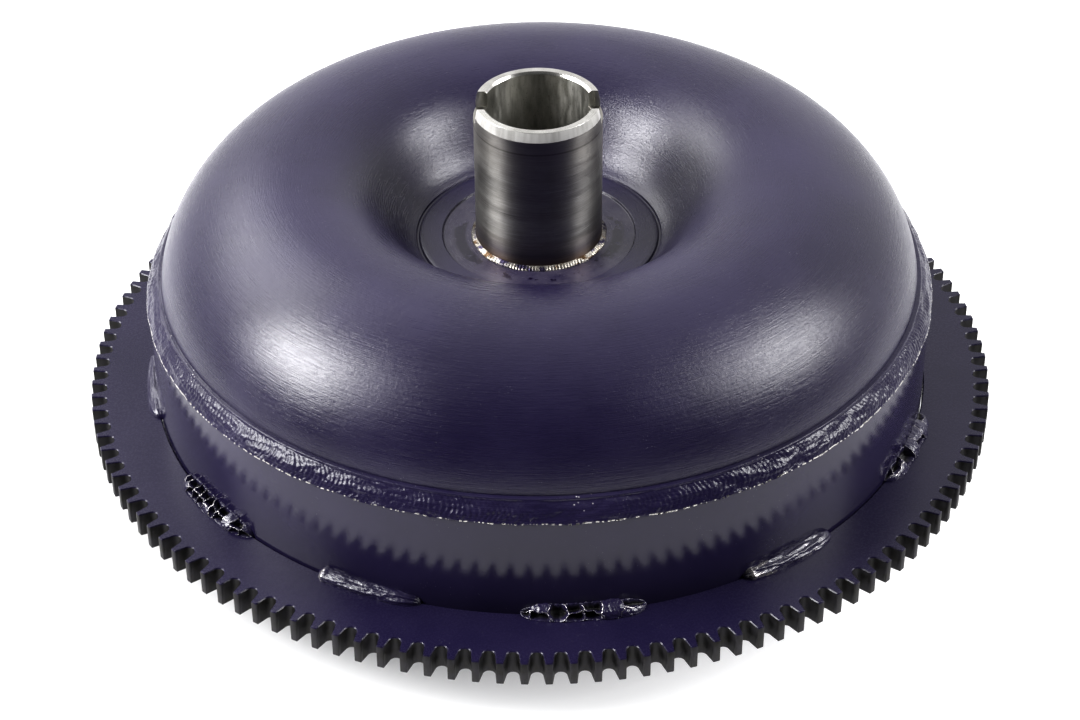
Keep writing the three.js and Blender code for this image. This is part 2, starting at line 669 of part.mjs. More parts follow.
// Cage of a thrust bearing: a flat ring with its needles lying across it.
function bearingCage(low) {
  const middle = low + NEEDLE_RADIUS;
  const half = BEARING_CAGE.thickness / 2;
  const ring = washer(BEARING_CAGE.inner, BEARING_CAGE.outer, middle - half, middle + half);
  const [start, end] = [BEARING_RADII[0] + NEEDLE_INSET, BEARING_RADII[1] - NEEDLE_INSET];
  const needles = around(NEEDLES, (angle) => {
    const needle = extruded(new THREE.Shape(ringOf(NEEDLE_RADIUS, NEEDLE_ROUND)), start, end);
    return needle.rotateY(Math.PI / 2).translate(0, 0, middle).rotateZ(angle);
  });
  return joined(ring, ...needles);
}

// ---------------------------------------------------------------- assembly

function housing() {
  const group = new THREE.Group();
  group.add(piece('front_cover', frontCover(), PAINT));
  group.add(piece('crank_pilot', crankPilot(), GROUND_STEEL));
  for (let i = 0; i < 4; i += 1) {
    group.add(piece(`mounting_lug_${i + 1}`, mountingLug(radians(45 + 90 * i)), PAINT));
  }
  for (let i = 0; i < 2; i += 1) {
    group.add(piece(`drain_plug_${i + 1}`, drainPlug(radians(90 + 180 * i)), BRIGHT_STEEL));
  }
  group.add(piece('ring_gear', ringGear(), GEAR_STEEL));
  GEAR_WELD_ANGLES.forEach((angle, i) => {
    group.add(piece(`ring_gear_weld_${i + 1}`, ringGearWeld(angle), WELD_PAINT));
  });
  group.add(piece('seam_weld', seamWeld(), WELD_PAINT));
  group.add(piece('impeller_shell', impellerShell(), PAINT));
  group.add(piece('impeller_blade_ring', bladeRing(1, IMPELLER_BLADES), SHEET_STEEL));
  group.add(piece('pump_hub', pumpHub(), GROUND_STEEL));
  group.add(piece('hub_weld', hubWeld(), BRIGHT_STEEL));
  group.add(piece('turbine_thrust_washer', thrustWasher(), BRONZE));
  group.add(piece('rear_bearing_hub_race', bearingRace(REAR_HUB_RACE_Z), BRIGHT_STEEL));
  return group;
}

function turbine() {
  const group = new THREE.Group();
  group.add(piece('turbine_shell', turbineShell(), SHEET_STEEL));
  group.add(piece('turbine_blade_ring', bladeRing(-1, TURBINE_BLADES), SHEET_STEEL));
  group.add(piece('turbine_hub', turbineHub(), GROUND_STEEL));
  around(TURBINE_RIVETS, (angle, i) => {
    group.add(piece(`turbine_rivet_${i + 1}`, turbineRivet(angle), BRIGHT_STEEL));
  });
  group.add(piece('front_bearing_turbine_race', bearingRace(FRONT_RACE_Z), BRIGHT_STEEL));
  return group;
}

function stator() {
  const group = new THREE.Group();
  group.add(piece('stator_wheel', statorWheel(), ALUMINIUM));
  group.add(piece('clutch_cam', clutchCam(), GROUND_STEEL));
  group.add(piece('clutch_cage', clutchCage(), BRONZE));
  group.add(piece('stator_front_plate', sidePlate(FRONT_PLATE_Z), SHEET_STEEL));
  group.add(piece('stator_rear_plate', sidePlate(REAR_PLATE_Z), SHEET_STEEL));
  group.add(piece('front_snap_ring', snapRing(FRONT_SNAP_RING_Z), SHEET_STEEL));
  group.add(piece('rear_snap_ring', snapRing(REAR_STATOR_RACE_Z), SHEET_STEEL));
  group.add(piece('front_bearing_stator_race', bearingRace(FRONT_STATOR_RACE_Z), BRIGHT_STEEL));
  group.add(piece('rear_bearing_stator_race', bearingRace(REAR_STATOR_RACE_Z), BRIGHT_STEEL));
  return group;
}

function clutchRollers() {
  const group = new THREE.Group();
  around(ROLLERS, (angle, i) => {
    group.add(piece(`clutch_roller_${i + 1}`, clutchRoller(angle), BRIGHT_STEEL));
  });
  return group;
}

const converter = new THREE.Group();
converter.add(housing(), turbine(), stator(), clutchRollers());
converter.add(piece('clutch_inner_race', clutchInnerRace(), GROUND_STEEL));
converter.add(piece('front_bearing_cage', bearingCage(FRONT_CAGE_Z), BRONZE));
converter.add(piece('rear_bearing_cage', bearingCage(REAR_CAGE_Z), BRONZE));

export default converter;
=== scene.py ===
"""Torque converter: the visual model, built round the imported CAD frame.

Lengths are metres in the row's frame: +Z is the spin axis and the part stands on z = 0.
Outlines are lists of (radius, height) in millimetres, scaled by MM when a mesh is made.
"""

import math

import bmesh
import bpy
import numpy as np
from mathutils import Matrix, Quaternion, Vector, noise


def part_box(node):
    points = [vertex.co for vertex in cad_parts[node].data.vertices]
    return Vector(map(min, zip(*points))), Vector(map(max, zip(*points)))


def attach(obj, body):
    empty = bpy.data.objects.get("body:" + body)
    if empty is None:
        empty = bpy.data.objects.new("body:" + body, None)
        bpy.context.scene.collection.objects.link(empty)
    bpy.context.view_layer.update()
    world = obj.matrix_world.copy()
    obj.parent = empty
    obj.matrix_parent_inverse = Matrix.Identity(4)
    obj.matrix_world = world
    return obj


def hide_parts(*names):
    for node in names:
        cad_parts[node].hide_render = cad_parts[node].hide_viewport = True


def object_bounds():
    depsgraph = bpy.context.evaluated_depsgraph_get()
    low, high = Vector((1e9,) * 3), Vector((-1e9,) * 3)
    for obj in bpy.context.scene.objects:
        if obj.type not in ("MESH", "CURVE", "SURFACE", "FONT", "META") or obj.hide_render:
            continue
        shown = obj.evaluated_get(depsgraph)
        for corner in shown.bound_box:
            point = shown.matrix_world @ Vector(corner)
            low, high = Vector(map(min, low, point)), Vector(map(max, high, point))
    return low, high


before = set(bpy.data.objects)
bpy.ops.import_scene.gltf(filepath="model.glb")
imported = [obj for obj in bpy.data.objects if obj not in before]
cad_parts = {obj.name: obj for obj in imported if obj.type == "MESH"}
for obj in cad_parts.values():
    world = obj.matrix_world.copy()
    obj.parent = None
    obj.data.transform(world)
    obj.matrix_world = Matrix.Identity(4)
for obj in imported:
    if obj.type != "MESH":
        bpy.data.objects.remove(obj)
cad_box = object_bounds()

MM = 0.001
TAU = 2 * math.pi


# ---------------------------------------------------------------- sizes read off the frame


def low(node):
    """Lowest corner of a CAD node, in millimetres."""
    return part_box(node)[0] / MM


def high(node):
    """Highest corner of a CAD node, in millimetres."""
    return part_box(node)[1] / MM


def levels(node):
    """Lowest and highest height of a CAD node, in millimetres."""
    return low(node).z, high(node).z


GEAR_LOW, GEAR_HIGH = levels("ring_gear")
GEAR_TIP = 167.64
GEAR_ROOT = 162.1
GEAR_TEETH = 130
GEAR_PHASE = 3.4205         # angle of the first tooth's middle, in radians
WALL = high("front_cover").x
WALL_TOP = high("front_cover").z
RIM = WALL_TOP + 2.4
COVER_LOW = low("front_cover").z
COVER_FACE = high("mounting_lug_1").z + 0.3
DOME = high("impeller_shell").x + 0.6
DOME_BASE = WALL_TOP + 4
DOME_TOP = high("impeller_shell").z
SKIRT = high("impeller_shell").x
SKIRT_LOW = low("impeller_shell").z
SHELL = 4.0
CREST = 90.0
POCKET = 44.4
POCKET_STEP = 34.8
POCKET_FLOOR = DOME_TOP - 28.9
HUB_FLANGE_LOW, HUB_TOP = levels("pump_hub")
HUB_FLANGE = high("pump_hub").x
HUB = 22.9
HUB_BORE = 18.9
LEAD_IN_LOW = HUB_TOP - 3.6  # foot of the bright chamfer
SLOT_WIDTH = 12
SLOT_DEPTH = 6.4
PILOT = 19.7
SPLIT = (low("impeller_blade_ring").z + high("turbine_blade_ring").z) / 2

WELDS = 11
SMOOTH_WELDS = (1, 3, 5, 8, 10)
BRIGHT_WELDS = (5, 10)
COARSE_WELDS = (4, 6, 7, 11)
# Blobs on the seam as (angle in degrees, width in degrees, size).
SEAM_BLOBS = ((227, 10, 0.9), (234, 5, 0.6), (342, 8, 0.5), (305, 5, 0.3), (60, 9, 0.6))

# How many of each, and the radius of the circle they stand on.
LUGS, LUG_CIRCLE = 4, 122
PLUGS, PLUG_CIRCLE = 2, 100
RIVETS, RIVET_CIRCLE = 6, 43
ROLLERS, ROLLER_CIRCLE = 8, 27.7
ROLLER = 4
VANES = 15
NEEDLES = 28
IMPELLER_BLADES = {"count": 27, "outer": 132.4, "crest": 37.6, "inner": 58, "curl": 0.10}
TURBINE_BLADES = {"count": 29, "outer": 128.8, "crest": 36.8, "inner": 60, "curl": -0.12}
CORE = 93                   # radius of the core rings' middle
CORE_SIZE = (20, 16)
CORE_WALL = 1.4
CORE_GAP = 1.2              # from the split plane to the core ring

# Inner and outer radius.
STATOR_RIM = (37.2, 42)
SHROUD = (66, 68.5)
CLUTCH_CAGE = (24.2, 28.0)
SNAP_RING = (33.2, 36.8)
BEARING = (20.5, 29.6)
CAM = 36.9
RACE_BORE = 20
PLATE_BORE = 18.6
WASHER_BORE = 14

# Splines as (teeth, tip radius, root radius).
TURBINE_SPLINE = (24, 11.2, 12.3)
RACE_SPLINE = (20, 15.4, 16.7)

SMOOTH_ANGLE = math.radians(32)

# The stage, in metres and degrees.
TABLE = 0.45
SURROUND = 6.0
BACKDROP = 6.5
# Centre of the table's painted shadow, moved off the spin axis so the shadow leans to one side.
PAINTED_SHADOW_OFFSET = (0.034, -0.016, 0.0)
LIGHT_TARGET = Vector((0, 0, 0.08))
# Azimuth, elevation, distance, width, height, power.
SOFT_BOXES = {
    "soft_box_left": (190, 33, 1.9, 0.9, 0.9, 64),
    "soft_box_right": (-6, 34, 2.3, 1.0, 0.9, 56),
    "window_back_left": (140, 38, 2.2, 1.4, 1.2, 26),
}
CAMERA_DISTANCE = 0.9915
CAMERA_ELEVATION = 37.36
CAMERA_ROLL = 0.468
CAMERA_LENS = 87.15
CAMERA_AIM = 7.2            # millimetres above the ring gear's lower face


# ---------------------------------------------------------------- outlines


def filleted(points, radius=0.6, arc=5):
    """A closed outline with its corners rounded; a point's third number is its own radius."""
    outline = []
    count = len(points)
    for i in range(count):
        here = Vector(points[i][:2])
        back = Vector(points[i - 1][:2]) - here
        ahead = Vector(points[(i + 1) % count][:2]) - here
        size = points[i][2] if len(points[i]) > 2 else radius
        turn = math.pi - back.angle(ahead)
        if size <= 0 or turn < 0.02:
            outline.append(tuple(here))
            continue
        reach = min(size * math.tan(turn / 2), 0.49 * back.length, 0.49 * ahead.length)
        start = here + back.normalized() * reach
        end = here + ahead.normalized() * reach
        for k in range(arc + 1):
            t = k / arc
            point = start * (1 - t) ** 2 + here * 2 * t * (1 - t) + end * t * t
            outline.append(tuple(point))
    return outline


def shoulder(inset, count):
    """Outer quarter of the dome, from its base up to the crest."""
    power = 2 / 1.89
    points = []
    for i in range(1, count + 1):
        t = i / count * math.pi / 2
        points.append((
            CREST + (DOME - CREST - inset) * math.cos(t) ** power,
            DOME_BASE + (DOME_TOP - DOME_BASE - inset) * math.sin(t) ** power,
        ))
    return points


def bowl(inset, count):
    """Inner side of the dome, from the crest down to the floor of the pocket."""
    p0, p1 = Vector((CREST, DOME_TOP)), Vector((55, DOME_TOP))
    p2, p3 = Vector((56, POCKET_FLOOR + 5)), Vector((POCKET, POCKET_FLOOR))
    points = []
    for i in range(1, count + 1):
        t = i / count
        at = p0 * (1 - t) ** 3 + p1 * 3 * t * (1 - t) ** 2 + p2 * 3 * t * t * (1 - t) + p3 * t**3
        slope = (p1 - p0) * (1 - t) ** 2 + (p2 - p1) * 2 * t * (1 - t) + (p3 - p2) * t * t
        normal = Vector((-slope.y, slope.x)).normalized()
        points.append(tuple(at + normal * inset))
    return points


def unit_circle(angles):
    return np.column_stack([np.cos(angles), np.sin(angles)])


def circle(radius, count):
    return unit_circle(np.arange(count) / count * TAU) * radius


def polar(radius, theta, height):
    """Points of a grid from their radius, angle and height."""
    return np.stack([radius * np.cos(theta), radius * np.sin(theta), height], -1)


def circle_arc(centre, size, start, end, count):
    """Points of an ellipse's arc; angles in degrees."""
    points = []
    for i in range(count + 1):
        t = math.radians(start + (end - start) * i / count)
        points.append((centre[0] + size[0] * math.cos(t), centre[1] + size[1] * math.sin(t)))
    return points


# ---------------------------------------------------------------- meshes


def mesh_from_grid(name, grid, turn=True, attributes=None):
    """A mesh over a grid of points [steps, outline points, xyz] in mm; the outline is closed."""
    rows, columns = grid.shape[:2]
    index = np.arange(rows * columns).reshape(rows, columns)
    ahead = np.roll(index, -1, 0)
    beside = np.roll(index, -1, 1)
    corner = np.roll(ahead, -1, 1)
    quads = np.stack([index, ahead, corner, beside], -1)
    if not turn:
        quads = quads[:-1]
    faces = quads.reshape(-1, 4).tolist()
    if not turn:
        faces.append(index[0].tolist())
        faces.append(index[-1][::-1].tolist())
    mesh = bpy.data.meshes.new(name)
    mesh.from_pydata((grid.reshape(-1, 3) * MM).tolist(), [], faces)
    for key, values in (attributes or {}).items():
        layer = mesh.attributes.new(key, "FLOAT", "POINT")
        layer.data.foreach_set("value", np.asarray(values, np.float32).ravel())
    return mesh


def tidy(mesh, angle=SMOOTH_ANGLE):
    """Merges doubled points, points the faces out and shades smooth, with sharp edges kept."""
    work = bmesh.new()
    work.from_mesh(mesh)
    bmesh.ops.remove_doubles(work, verts=work.verts, dist=2e-6)
    bmesh.ops.recalc_face_normals(work, faces=work.faces)
    work.to_mesh(mesh)
    work.free()
    mesh.polygons.foreach_set("use_smooth", [True] * len(mesh.polygons))
    mesh.set_sharp_from_angle(angle=angle)
    return mesh


def closed_direction(outline):
    """The outline in the direction that makes a turned solid face out."""
    area = 0.0
    for (r0, z0), (r1, z1) in zip(outline, outline[1:] + outline[:1]):
        area += r0 * z1 - r1 * z0
    return outline if area > 0 else outline[::-1]


def turned_mesh(name, outline, steps=192, warp=None, angle=SMOOTH_ANGLE):
    """A solid of revolution; warp(theta, radius, z) gives offsets in mm for radius and z."""
    outline = np.array(closed_direction(list(outline)))
    theta = np.arange(steps) / steps * TAU
    radius = np.tile(outline[:, 0], (steps, 1))
    height = np.tile(outline[:, 1], (steps, 1))
    if warp:
        out, up = warp(theta[:, None], radius, height)
        radius, height = radius + out, height + up
    grid = polar(radius, theta[:, None], height)
    run = np.concatenate([[0], np.cumsum(np.hypot(*np.diff(outline, axis=0).T))])
    along = np.tile(run * MM, (steps, 1))
    return tidy(mesh_from_grid(name, grid, attributes={"along": along}), angle)


def stacked_mesh(name, rows, step, angle=SMOOTH_ANGLE, place=(0.0, (0, 0, 0))):
    """A closed solid from rows of (points, height); step is the surface length per row in mm."""
    grid = np.stack([np.column_stack([p, np.full(len(p), z)]) for p, z in rows], 1)
    run = np.tile(np.arange(len(rows)) * step * MM, (len(grid), 1))
    mesh = mesh_from_grid(name, grid, attributes={"along": run})
    return tidy(placed(mesh, *place), angle)


def extruded_mesh(name, outline, low_z, high_z, hole):
    """A flat ring from its outline and a hole with as many points, with small chamfers."""
    bevel = 0.3
    shrink = inset_outline(outline, bevel)
    grow = inset_outline(hole, -bevel)
    rows = [
        (shrink, low_z), (outline, low_z + bevel), (outline, high_z - bevel), (shrink, high_z),
        (grow, high_z), (hole, high_z - bevel), (hole, low_z + bevel), (grow, low_z),
    ]
    return stacked_mesh(name, rows, 2)


def inset_outline(outline, distance):
    """A closed counter-clockwise outline moved inward along its own normals."""
    tangent = np.roll(outline, -1, 0) - np.roll(outline, 1, 0)
    normal = np.column_stack([-tangent[:, 1], tangent[:, 0]])
    normal /= np.maximum(np.linalg.norm(normal, axis=1, keepdims=True), 1e-9)
    return outline + normal * distance


def joined_mesh(name, meshes):
    """One mesh out of several."""
    work = bmesh.new()
    for mesh in meshes:
        work.from_mesh(mesh)
        bpy.data.meshes.remove(mesh)
    result = bpy.data.meshes.new(name)
    work.to_mesh(result)
    work.free()
    return result


def placed(mesh, angle=0.0, offset=(0, 0, 0)):
    """The mesh moved by an offset in mm, then turned about the spin axis."""
    mesh.transform(Matrix.Rotation(angle, 4, "Z") @ Matrix.Translation(Vector(offset) * MM))
    return mesh


def linked(name, data):
    """A new object in the scene."""
    obj = bpy.data.objects.new(name, data)
    bpy.context.scene.collection.objects.link(obj)
    return obj


def piece(node, mesh, body, finish, extra=()):
    """Shows a mesh in place of a CAD node, riding on its body."""
    obj = linked(node + "_fine", mesh)
    for material in (finish, *extra):
        mesh.materials.append(material)
    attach(obj, body)
    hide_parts(node)


def paint_faces(mesh, slot_index, test):
    """Gives the material slot to the faces whose centre and normal pass the test, in mm."""
    for face in mesh.polygons:
        centre = face.center / MM
        if test(math.hypot(centre.x, centre.y), centre.z, face.normal):
            face.material_index = slot_index


def smooth_noise(points, scale):
    """Perlin noise from -1 to 1 at an array of points in mm; scale is in mm per feature."""
    flat = (points / scale).reshape(-1, 3)
    return np.array([noise.noise(Vector(p)) for p in flat]).reshape(points.shape[:-1])


# ---------------------------------------------------------------- material tools


class Look:
    """A node material under construction."""

    def __init__(self, name, **constants):
        self.material = bpy.data.materials.new(name)
        self.material.use_nodes = True
        self.tree = self.material.node_tree
        self.shader = self.tree.nodes["Principled BSDF"]
        self.place = self.add("ShaderNodeTexCoord").outputs["Object"]
        for key, value in constants.items():
            self.shader.inputs[key.replace("_", " ")].default_value = value

    def add(self, kind, inputs=None, **settings):
        node = self.tree.nodes.new(kind)
        for key, value in settings.items():
            setattr(node, key, value)
        for key, value in (inputs or {}).items():
            self.join(value, node.inputs[key])
        return node

    def join(self, value, socket):
        if isinstance(value, bpy.types.NodeSocket):
            self.tree.links.new(value, socket)
        else:
            socket.default_value = value

    def finish(self, **inputs):
        for key, value in inputs.items():
            self.join(value, self.shader.inputs[key.replace("_", " ")])
        return self.material

    def math(self, operation, a, b=0.0):
        return self.add("ShaderNodeMath", {0: a, 1: b}, operation=operation).outputs[0]

    def plus(self, a, b):
        return self.math("ADD", a, b)

    def times(self, a, b):
        return self.math("MULTIPLY", a, b)

    def vector(self, operation, a, b):
        return self.add("ShaderNodeVectorMath", {0: a, 1: b}, operation=operation).outputs[0]

    def noise(self, vector, scale, detail=3.0, roughness=0.55):
        inputs = {"Vector": vector, "Scale": scale, "Detail": detail, "Roughness": roughness}
        return self.add("ShaderNodeTexNoise", inputs).outputs["Fac"]

    def cells(self, vector, scale):
        inputs = {"Vector": vector, "Scale": scale}
        return self.add("ShaderNodeTexVoronoi", inputs, feature="F1").outputs["Distance"]

    def span(self, value, start, end, first=0.0, last=1.0):
        inputs = {"Value": value, "From Min": start, "From Max": end}
        inputs.update({"To Min": first, "To Max": last})
        return self.add("ShaderNodeMapRange", inputs).outputs["Result"]

    def mix(self, factor, a, b):
        node = self.add("ShaderNodeMix", data_type="RGBA")
        for socket, value in ((node.inputs[0], factor), (node.inputs[6], a), (node.inputs[7], b)):
            if isinstance(value, tuple):
                value = (*value, 1.0)
            self.join(value, socket)
        return node.outputs[2]

    def bump(self, height, distance, strength=1.0, normal=None):
        inputs = {"Height": height, "Distance": distance, "Strength": strength}
        if normal is not None:
            inputs["Normal"] = normal
        return self.add("ShaderNodeBump", inputs).outputs["Normal"]

    def attribute(self, name):
        return self.add("ShaderNodeAttribute", attribute_name=name).outputs["Fac"]

    def radius_and_height(self):
        parts = self.add("ShaderNodeSeparateXYZ", {0: self.place}).outputs
        square = self.plus(self.times(parts[0], parts[0]), self.times(parts[1], parts[1]))
        return self.math("SQRT", square), parts[2]

    def turned(self, around, across):
        """Coordinates that run slowly round the axis and fast across the surface."""
        flat = self.vector("MULTIPLY", self.place, (1, 1, 0))
        unit = self.add("ShaderNodeVectorMath", {0: flat}, operation="NORMALIZE").outputs[0]
        ring = self.add("ShaderNodeVectorMath", {0: unit, "Scale": around},
                        operation="SCALE").outputs[0]
        rise = self.times(self.attribute("along"), across)
        lift = self.add("ShaderNodeCombineXYZ", {2: rise}).outputs[0]
        return self.vector("ADD", ring, lift)

    def round_axis(self):
        """The tangent along turning marks."""
        return self.add("ShaderNodeTangent", direction_type="RADIAL", axis="Z").outputs[0]


# ---------------------------------------------------------------- materials

DEEP_PURPLE = (0.0135, 0.0100, 0.0350)
PALE_PURPLE = (0.0215, 0.0165, 0.050)
DUST = (0.45, 0.44, 0.5)


def paint_base(look, streak_depth=0.00008, peel_depth=0.00006):
    """Streaked sheet steel under semi-gloss paint: colour, roughness and normal sockets."""
    streaks = look.noise(look.turned(9.0, 2300.0), 1.0, 4.0, 0.6)
    hairs = look.noise(look.turned(30.0, 9000.0), 1.0, 2.0)
    peel = look.noise(look.place, 700.0, 2.0)
    haze = look.noise(look.place, 22.0, 4.0)
    colour = look.mix(look.span(haze, 0.35, 0.68), DEEP_PURPLE, PALE_PURPLE)
    roughness = look.plus(look.span(streaks, 0.3, 0.72, 0.24, 0.33),
                          look.span(haze, 0.3, 0.7, -0.03, 0.05))
    normal = look.bump(streaks, streak_depth)
    normal = look.bump(hairs, streak_depth * 0.45, 1.0, normal)
    normal = look.bump(peel, peel_depth, 1.0, normal)
    return colour, roughness, normal


def specks(look, colour, density, amount=1.0, tint=DUST):
    """Tiny pale specks of dust and spatter over a colour."""
    dots = look.span(look.cells(look.place, density), 0.0, 0.16, amount, 0.0)
    some = look.span(look.noise(look.place, density * 0.13, 2.0), 0.56, 0.66)
    return look.mix(look.times(dots, some), colour, tint)


def dome_paint():
    """Paint over the spun shell, crinkled in the bowl, with bare patches round the hub."""
    look = Look("purple_paint_dome", Metallic=0.0, IOR=1.52)
    colour, roughness, normal = paint_base(look)
    radius = look.radius_and_height()[0]
    across = look.add("ShaderNodeSeparateXYZ", {0: look.place}).outputs
    beside_hub = look.times(look.span(across[1], -0.019, -0.012),
                            look.span(across[1], 0.001, 0.007, 1.0, 0.0))
    worn = look.plus(look.noise(look.place, 210.0, 5.0, 0.65),
                     look.times(beside_hub, 0.2))
    in_ring = look.times(look.span(radius, 0.0262, 0.0272),
                         look.span(radius, 0.0300, 0.0318, 1.0, 0.0))
    bare = look.times(look.span(worn, 0.57, 0.60), in_ring)
    film = look.span(radius, POCKET_STEP * MM, (POCKET_STEP + 0.6) * MM, 1.0, 0.0)
    mottle = look.span(look.noise(look.place, 160.0, 6.0, 0.7), 0.36, 0.62, 0.15, 0.75)
    colour = look.mix(look.times(film, mottle), colour, (0.070, 0.063, 0.090))
    colour = look.mix(bare, colour, (0.0065, 0.0035, 0.019))
    colour = specks(look, colour, 800.0, 0.4)
    crinkle = look.noise(look.place, 1150.0, 3.0, 0.6)
    in_bowl = look.times(look.span(radius, 0.040, 0.046),
                         look.span(radius, 0.060, 0.082, 1.0, 0.0))
    one_side = look.times(in_bowl, look.span(across[0], -0.015, 0.025, 0.15, 1.0))
    normal = look.bump(look.times(crinkle, one_side), 0.00012, 1.0, normal)
    roughness = look.plus(roughness, look.times(bare, -0.16))
    roughness = look.plus(roughness, look.times(film, -0.05))
    return look.finish(Base_Color=colour, Roughness=roughness, Normal=normal)


def cover_paint():
    look = Look("purple_paint_cover", Metallic=0.0, IOR=1.44)
    colour, roughness, normal = paint_base(look, 0.000012, 0.000010)
    roughness = look.math("SUBTRACT", roughness, 0.155)
    colour = specks(look, colour, 800.0, 0.25)
    return look.finish(Base_Color=colour, Roughness=roughness, Normal=normal)


def weld_paint():
    """The seam's bead: painted over, with spatter, and a broken silver line along its foot."""
    look = Look("purple_paint_weld", IOR=1.42)
    colour, roughness, normal = paint_base(look, 0.000004, 0.00005)
    roughness = look.math("SUBTRACT", roughness, 0.03)
    colour = specks(look, colour, 420.0, 1.0, (0.75, 0.72, 0.72))
    colour = specks(look, colour, 760.0, 0.7, (0.5, 0.48, 0.5))
    grain = look.noise(look.place, 1300.0, 3.0)
    bare = look.span(look.plus(look.attribute("crust"), look.times(grain, 0.5)),
                     0.55, 0.85)
    colour = look.mix(bare, colour, (0.6, 0.58, 0.56))
    normal = look.bump(grain, 0.00012, 1.0, normal)
    return look.finish(Base_Color=colour, Roughness=roughness, Normal=normal, Metallic=bare)


def stitch_paint():
    """Weld stitches: gloss purple where the paint lies, silver ridges, and painted shade
    darkening the pits.
    """
    look = Look("stitch_weld", IOR=1.6)
    colour, roughness, normal = paint_base(look, 0.000004, 0.00004)
    grain = look.noise(look.place, 900.0, 5.0, 0.7)
    pit = look.attribute("pit")
    crust = look.attribute("crust")
    silver = look.span(look.plus(look.times(crust, 0.6), grain), 0.93, 1.12)
    colour = look.mix(silver, colour, (0.42, 0.40, 0.40))
    # Painted shade: the pits' colour is darkened almost to black.
    colour = look.mix(look.span(pit, 0.25, 0.7), colour, (0.006, 0.005, 0.007))
    roughness = look.plus(look.math("SUBTRACT", roughness, 0.12),
                          look.span(pit, 0.1, 0.8, 0.0, 0.4))
    normal = look.bump(grain, 0.00016, 1.0, normal)
    return look.finish(Base_Color=colour, Roughness=roughness, Metallic=silver, Normal=normal)


def gear_paint():
    look = Look("purple_paint_gear", Metallic=0.0, IOR=1.42)
    fine = look.noise(look.turned(60.0, 3000.0), 1.0, 3.0)
    grit = look.noise(look.place, 1300.0, 3.0)
    haze = look.noise(look.place, 30.0, 3.0)
    colour = look.mix(look.span(haze, 0.3, 0.7), (0.0112, 0.0084, 0.032), (0.0175, 0.0135, 0.042))
    colour = specks(look, colour, 800.0, 0.3)
    roughness = look.span(grit, 0.3, 0.7, 0.22, 0.32)
    normal = look.bump(grit, 0.00002)
    normal = look.bump(fine, 0.00001, 1.0, normal)
    return look.finish(Base_Color=colour, Roughness=roughness, Normal=normal)


def tooth_steel():
    """Cut tooth faces: bare, oiled grey-green steel with a dusting of overspray."""
    look = Look("tooth_steel", Metallic=0.55)
    cut_marks = look.noise(look.turned(400.0, 900.0), 1.0, 3.0)
    stain = look.noise(look.place, 260.0, 4.0)
    colour = look.mix(look.span(stain, 0.35, 0.65), (0.016, 0.015, 0.013), (0.036, 0.034, 0.040))
    roughness = look.span(stain, 0.3, 0.7, 0.42, 0.6)
    normal = look.bump(cut_marks, 0.00003)
    return look.finish(Base_Color=colour, Roughness=roughness, Normal=normal)


def hub_steel():
    """Dark turned journal: fine turning lines, rub marks and a heat tint at its foot."""
    look = Look("hub_journal", Metallic=1.0, Anisotropic=0.85, Anisotropic_Rotation=0.25)
    height = look.radius_and_height()[1]
    lines = look.noise(look.turned(0.6, 14000.0), 1.0, 2.0, 0.7)
    bands = look.noise(look.turned(0.5, 330.0), 1.0, 2.0)
    rubs = look.noise(look.turned(2.6, 5200.0), 1.0, 3.0, 0.7)
    grime = look.noise(look.place, 90.0, 5.0)
    colour = look.mix(look.span(bands, 0.35, 0.65), (0.29, 0.282, 0.266), (0.35, 0.342, 0.326))
    colour = look.mix(look.span(rubs, 0.56, 0.70, 0.0, 0.55), colour, (0.62, 0.61, 0.59))
    colour = look.mix(look.span(rubs, 0.44, 0.34, 0.0, 0.45), colour, (0.13, 0.125, 0.118))
    colour = look.mix(look.span(grime, 0.5, 0.85, 0.0, 0.35), colour, (0.12, 0.108, 0.094))
    foot = POCKET_FLOOR * MM
    # The colour turns paler toward the journal's top.
    paler_top = look.span(height, (HUB_TOP - 24) * MM, (HUB_TOP - 8) * MM, 0.0, 0.35)
    colour = look.mix(paler_top, colour, (0.43, 0.405, 0.37))
    line = look.math("ABSOLUTE", look.math("SUBTRACT", height, (HUB_TOP - 8.6) * MM))
    colour = look.mix(look.span(line, 0.0001, 0.0005, 0.5, 0.0), colour, (0.08, 0.075, 0.068))
    brown = look.span(height, foot, foot + 0.011, 1.0, 0.0)
    blue = look.times(look.span(height, foot + 0.001, foot + 0.0045),
                      look.span(height, foot + 0.0045, foot + 0.009, 1.0, 0.0))
    colour = look.mix(look.times(brown, 0.75), colour, (0.10, 0.045, 0.018))
    colour = look.mix(look.times(blue, 0.35), colour, (0.05, 0.06, 0.12))
    roughness = look.plus(look.span(bands, 0.3, 0.7, 0.29, 0.34),
                          look.span(grime, 0.4, 0.8, 0.0, 0.08))
    normal = look.bump(lines, 0.000006)
    normal = look.bump(rubs, 0.000002, 1.0, normal)
    return look.finish(Base_Color=colour, Roughness=roughness, Normal=normal,
                       Tangent=look.round_axis())


def bored_steel():
    """The hub's bore: dark, oily, with rusty spots and long marks down its wall."""
    look = Look("bored_steel", Metallic=1.0, Anisotropic=0.6, Anisotropic_Rotation=0.25)
    squashed = look.vector("MULTIPLY", look.place, (1.0, 1.0, 0.22))
    runs = look.noise(squashed, 520.0, 4.0, 0.65)
    spots = look.noise(look.place, 1500.0, 3.0, 0.7)
    turning = look.noise(look.turned(1.5, 9000.0), 1.0, 3.0, 0.7)
    colour = look.mix(look.span(runs, 0.35, 0.65), (0.36, 0.355, 0.325), (0.52, 0.51, 0.48))
    colour = look.mix(look.span(spots, 0.62, 0.7, 0.0, 0.6), colour, (0.06, 0.048, 0.034))
    colour = look.mix(look.span(spots, 0.36, 0.30, 0.0, 0.5), colour, (0.55, 0.54, 0.52))
    rough = look.span(runs, 0.3, 0.7, 0.3, 0.42)
    normal = look.bump(turning, 0.00001)
    return look.finish(Base_Color=colour, Roughness=rough, Normal=normal,
                       Tangent=look.round_axis())


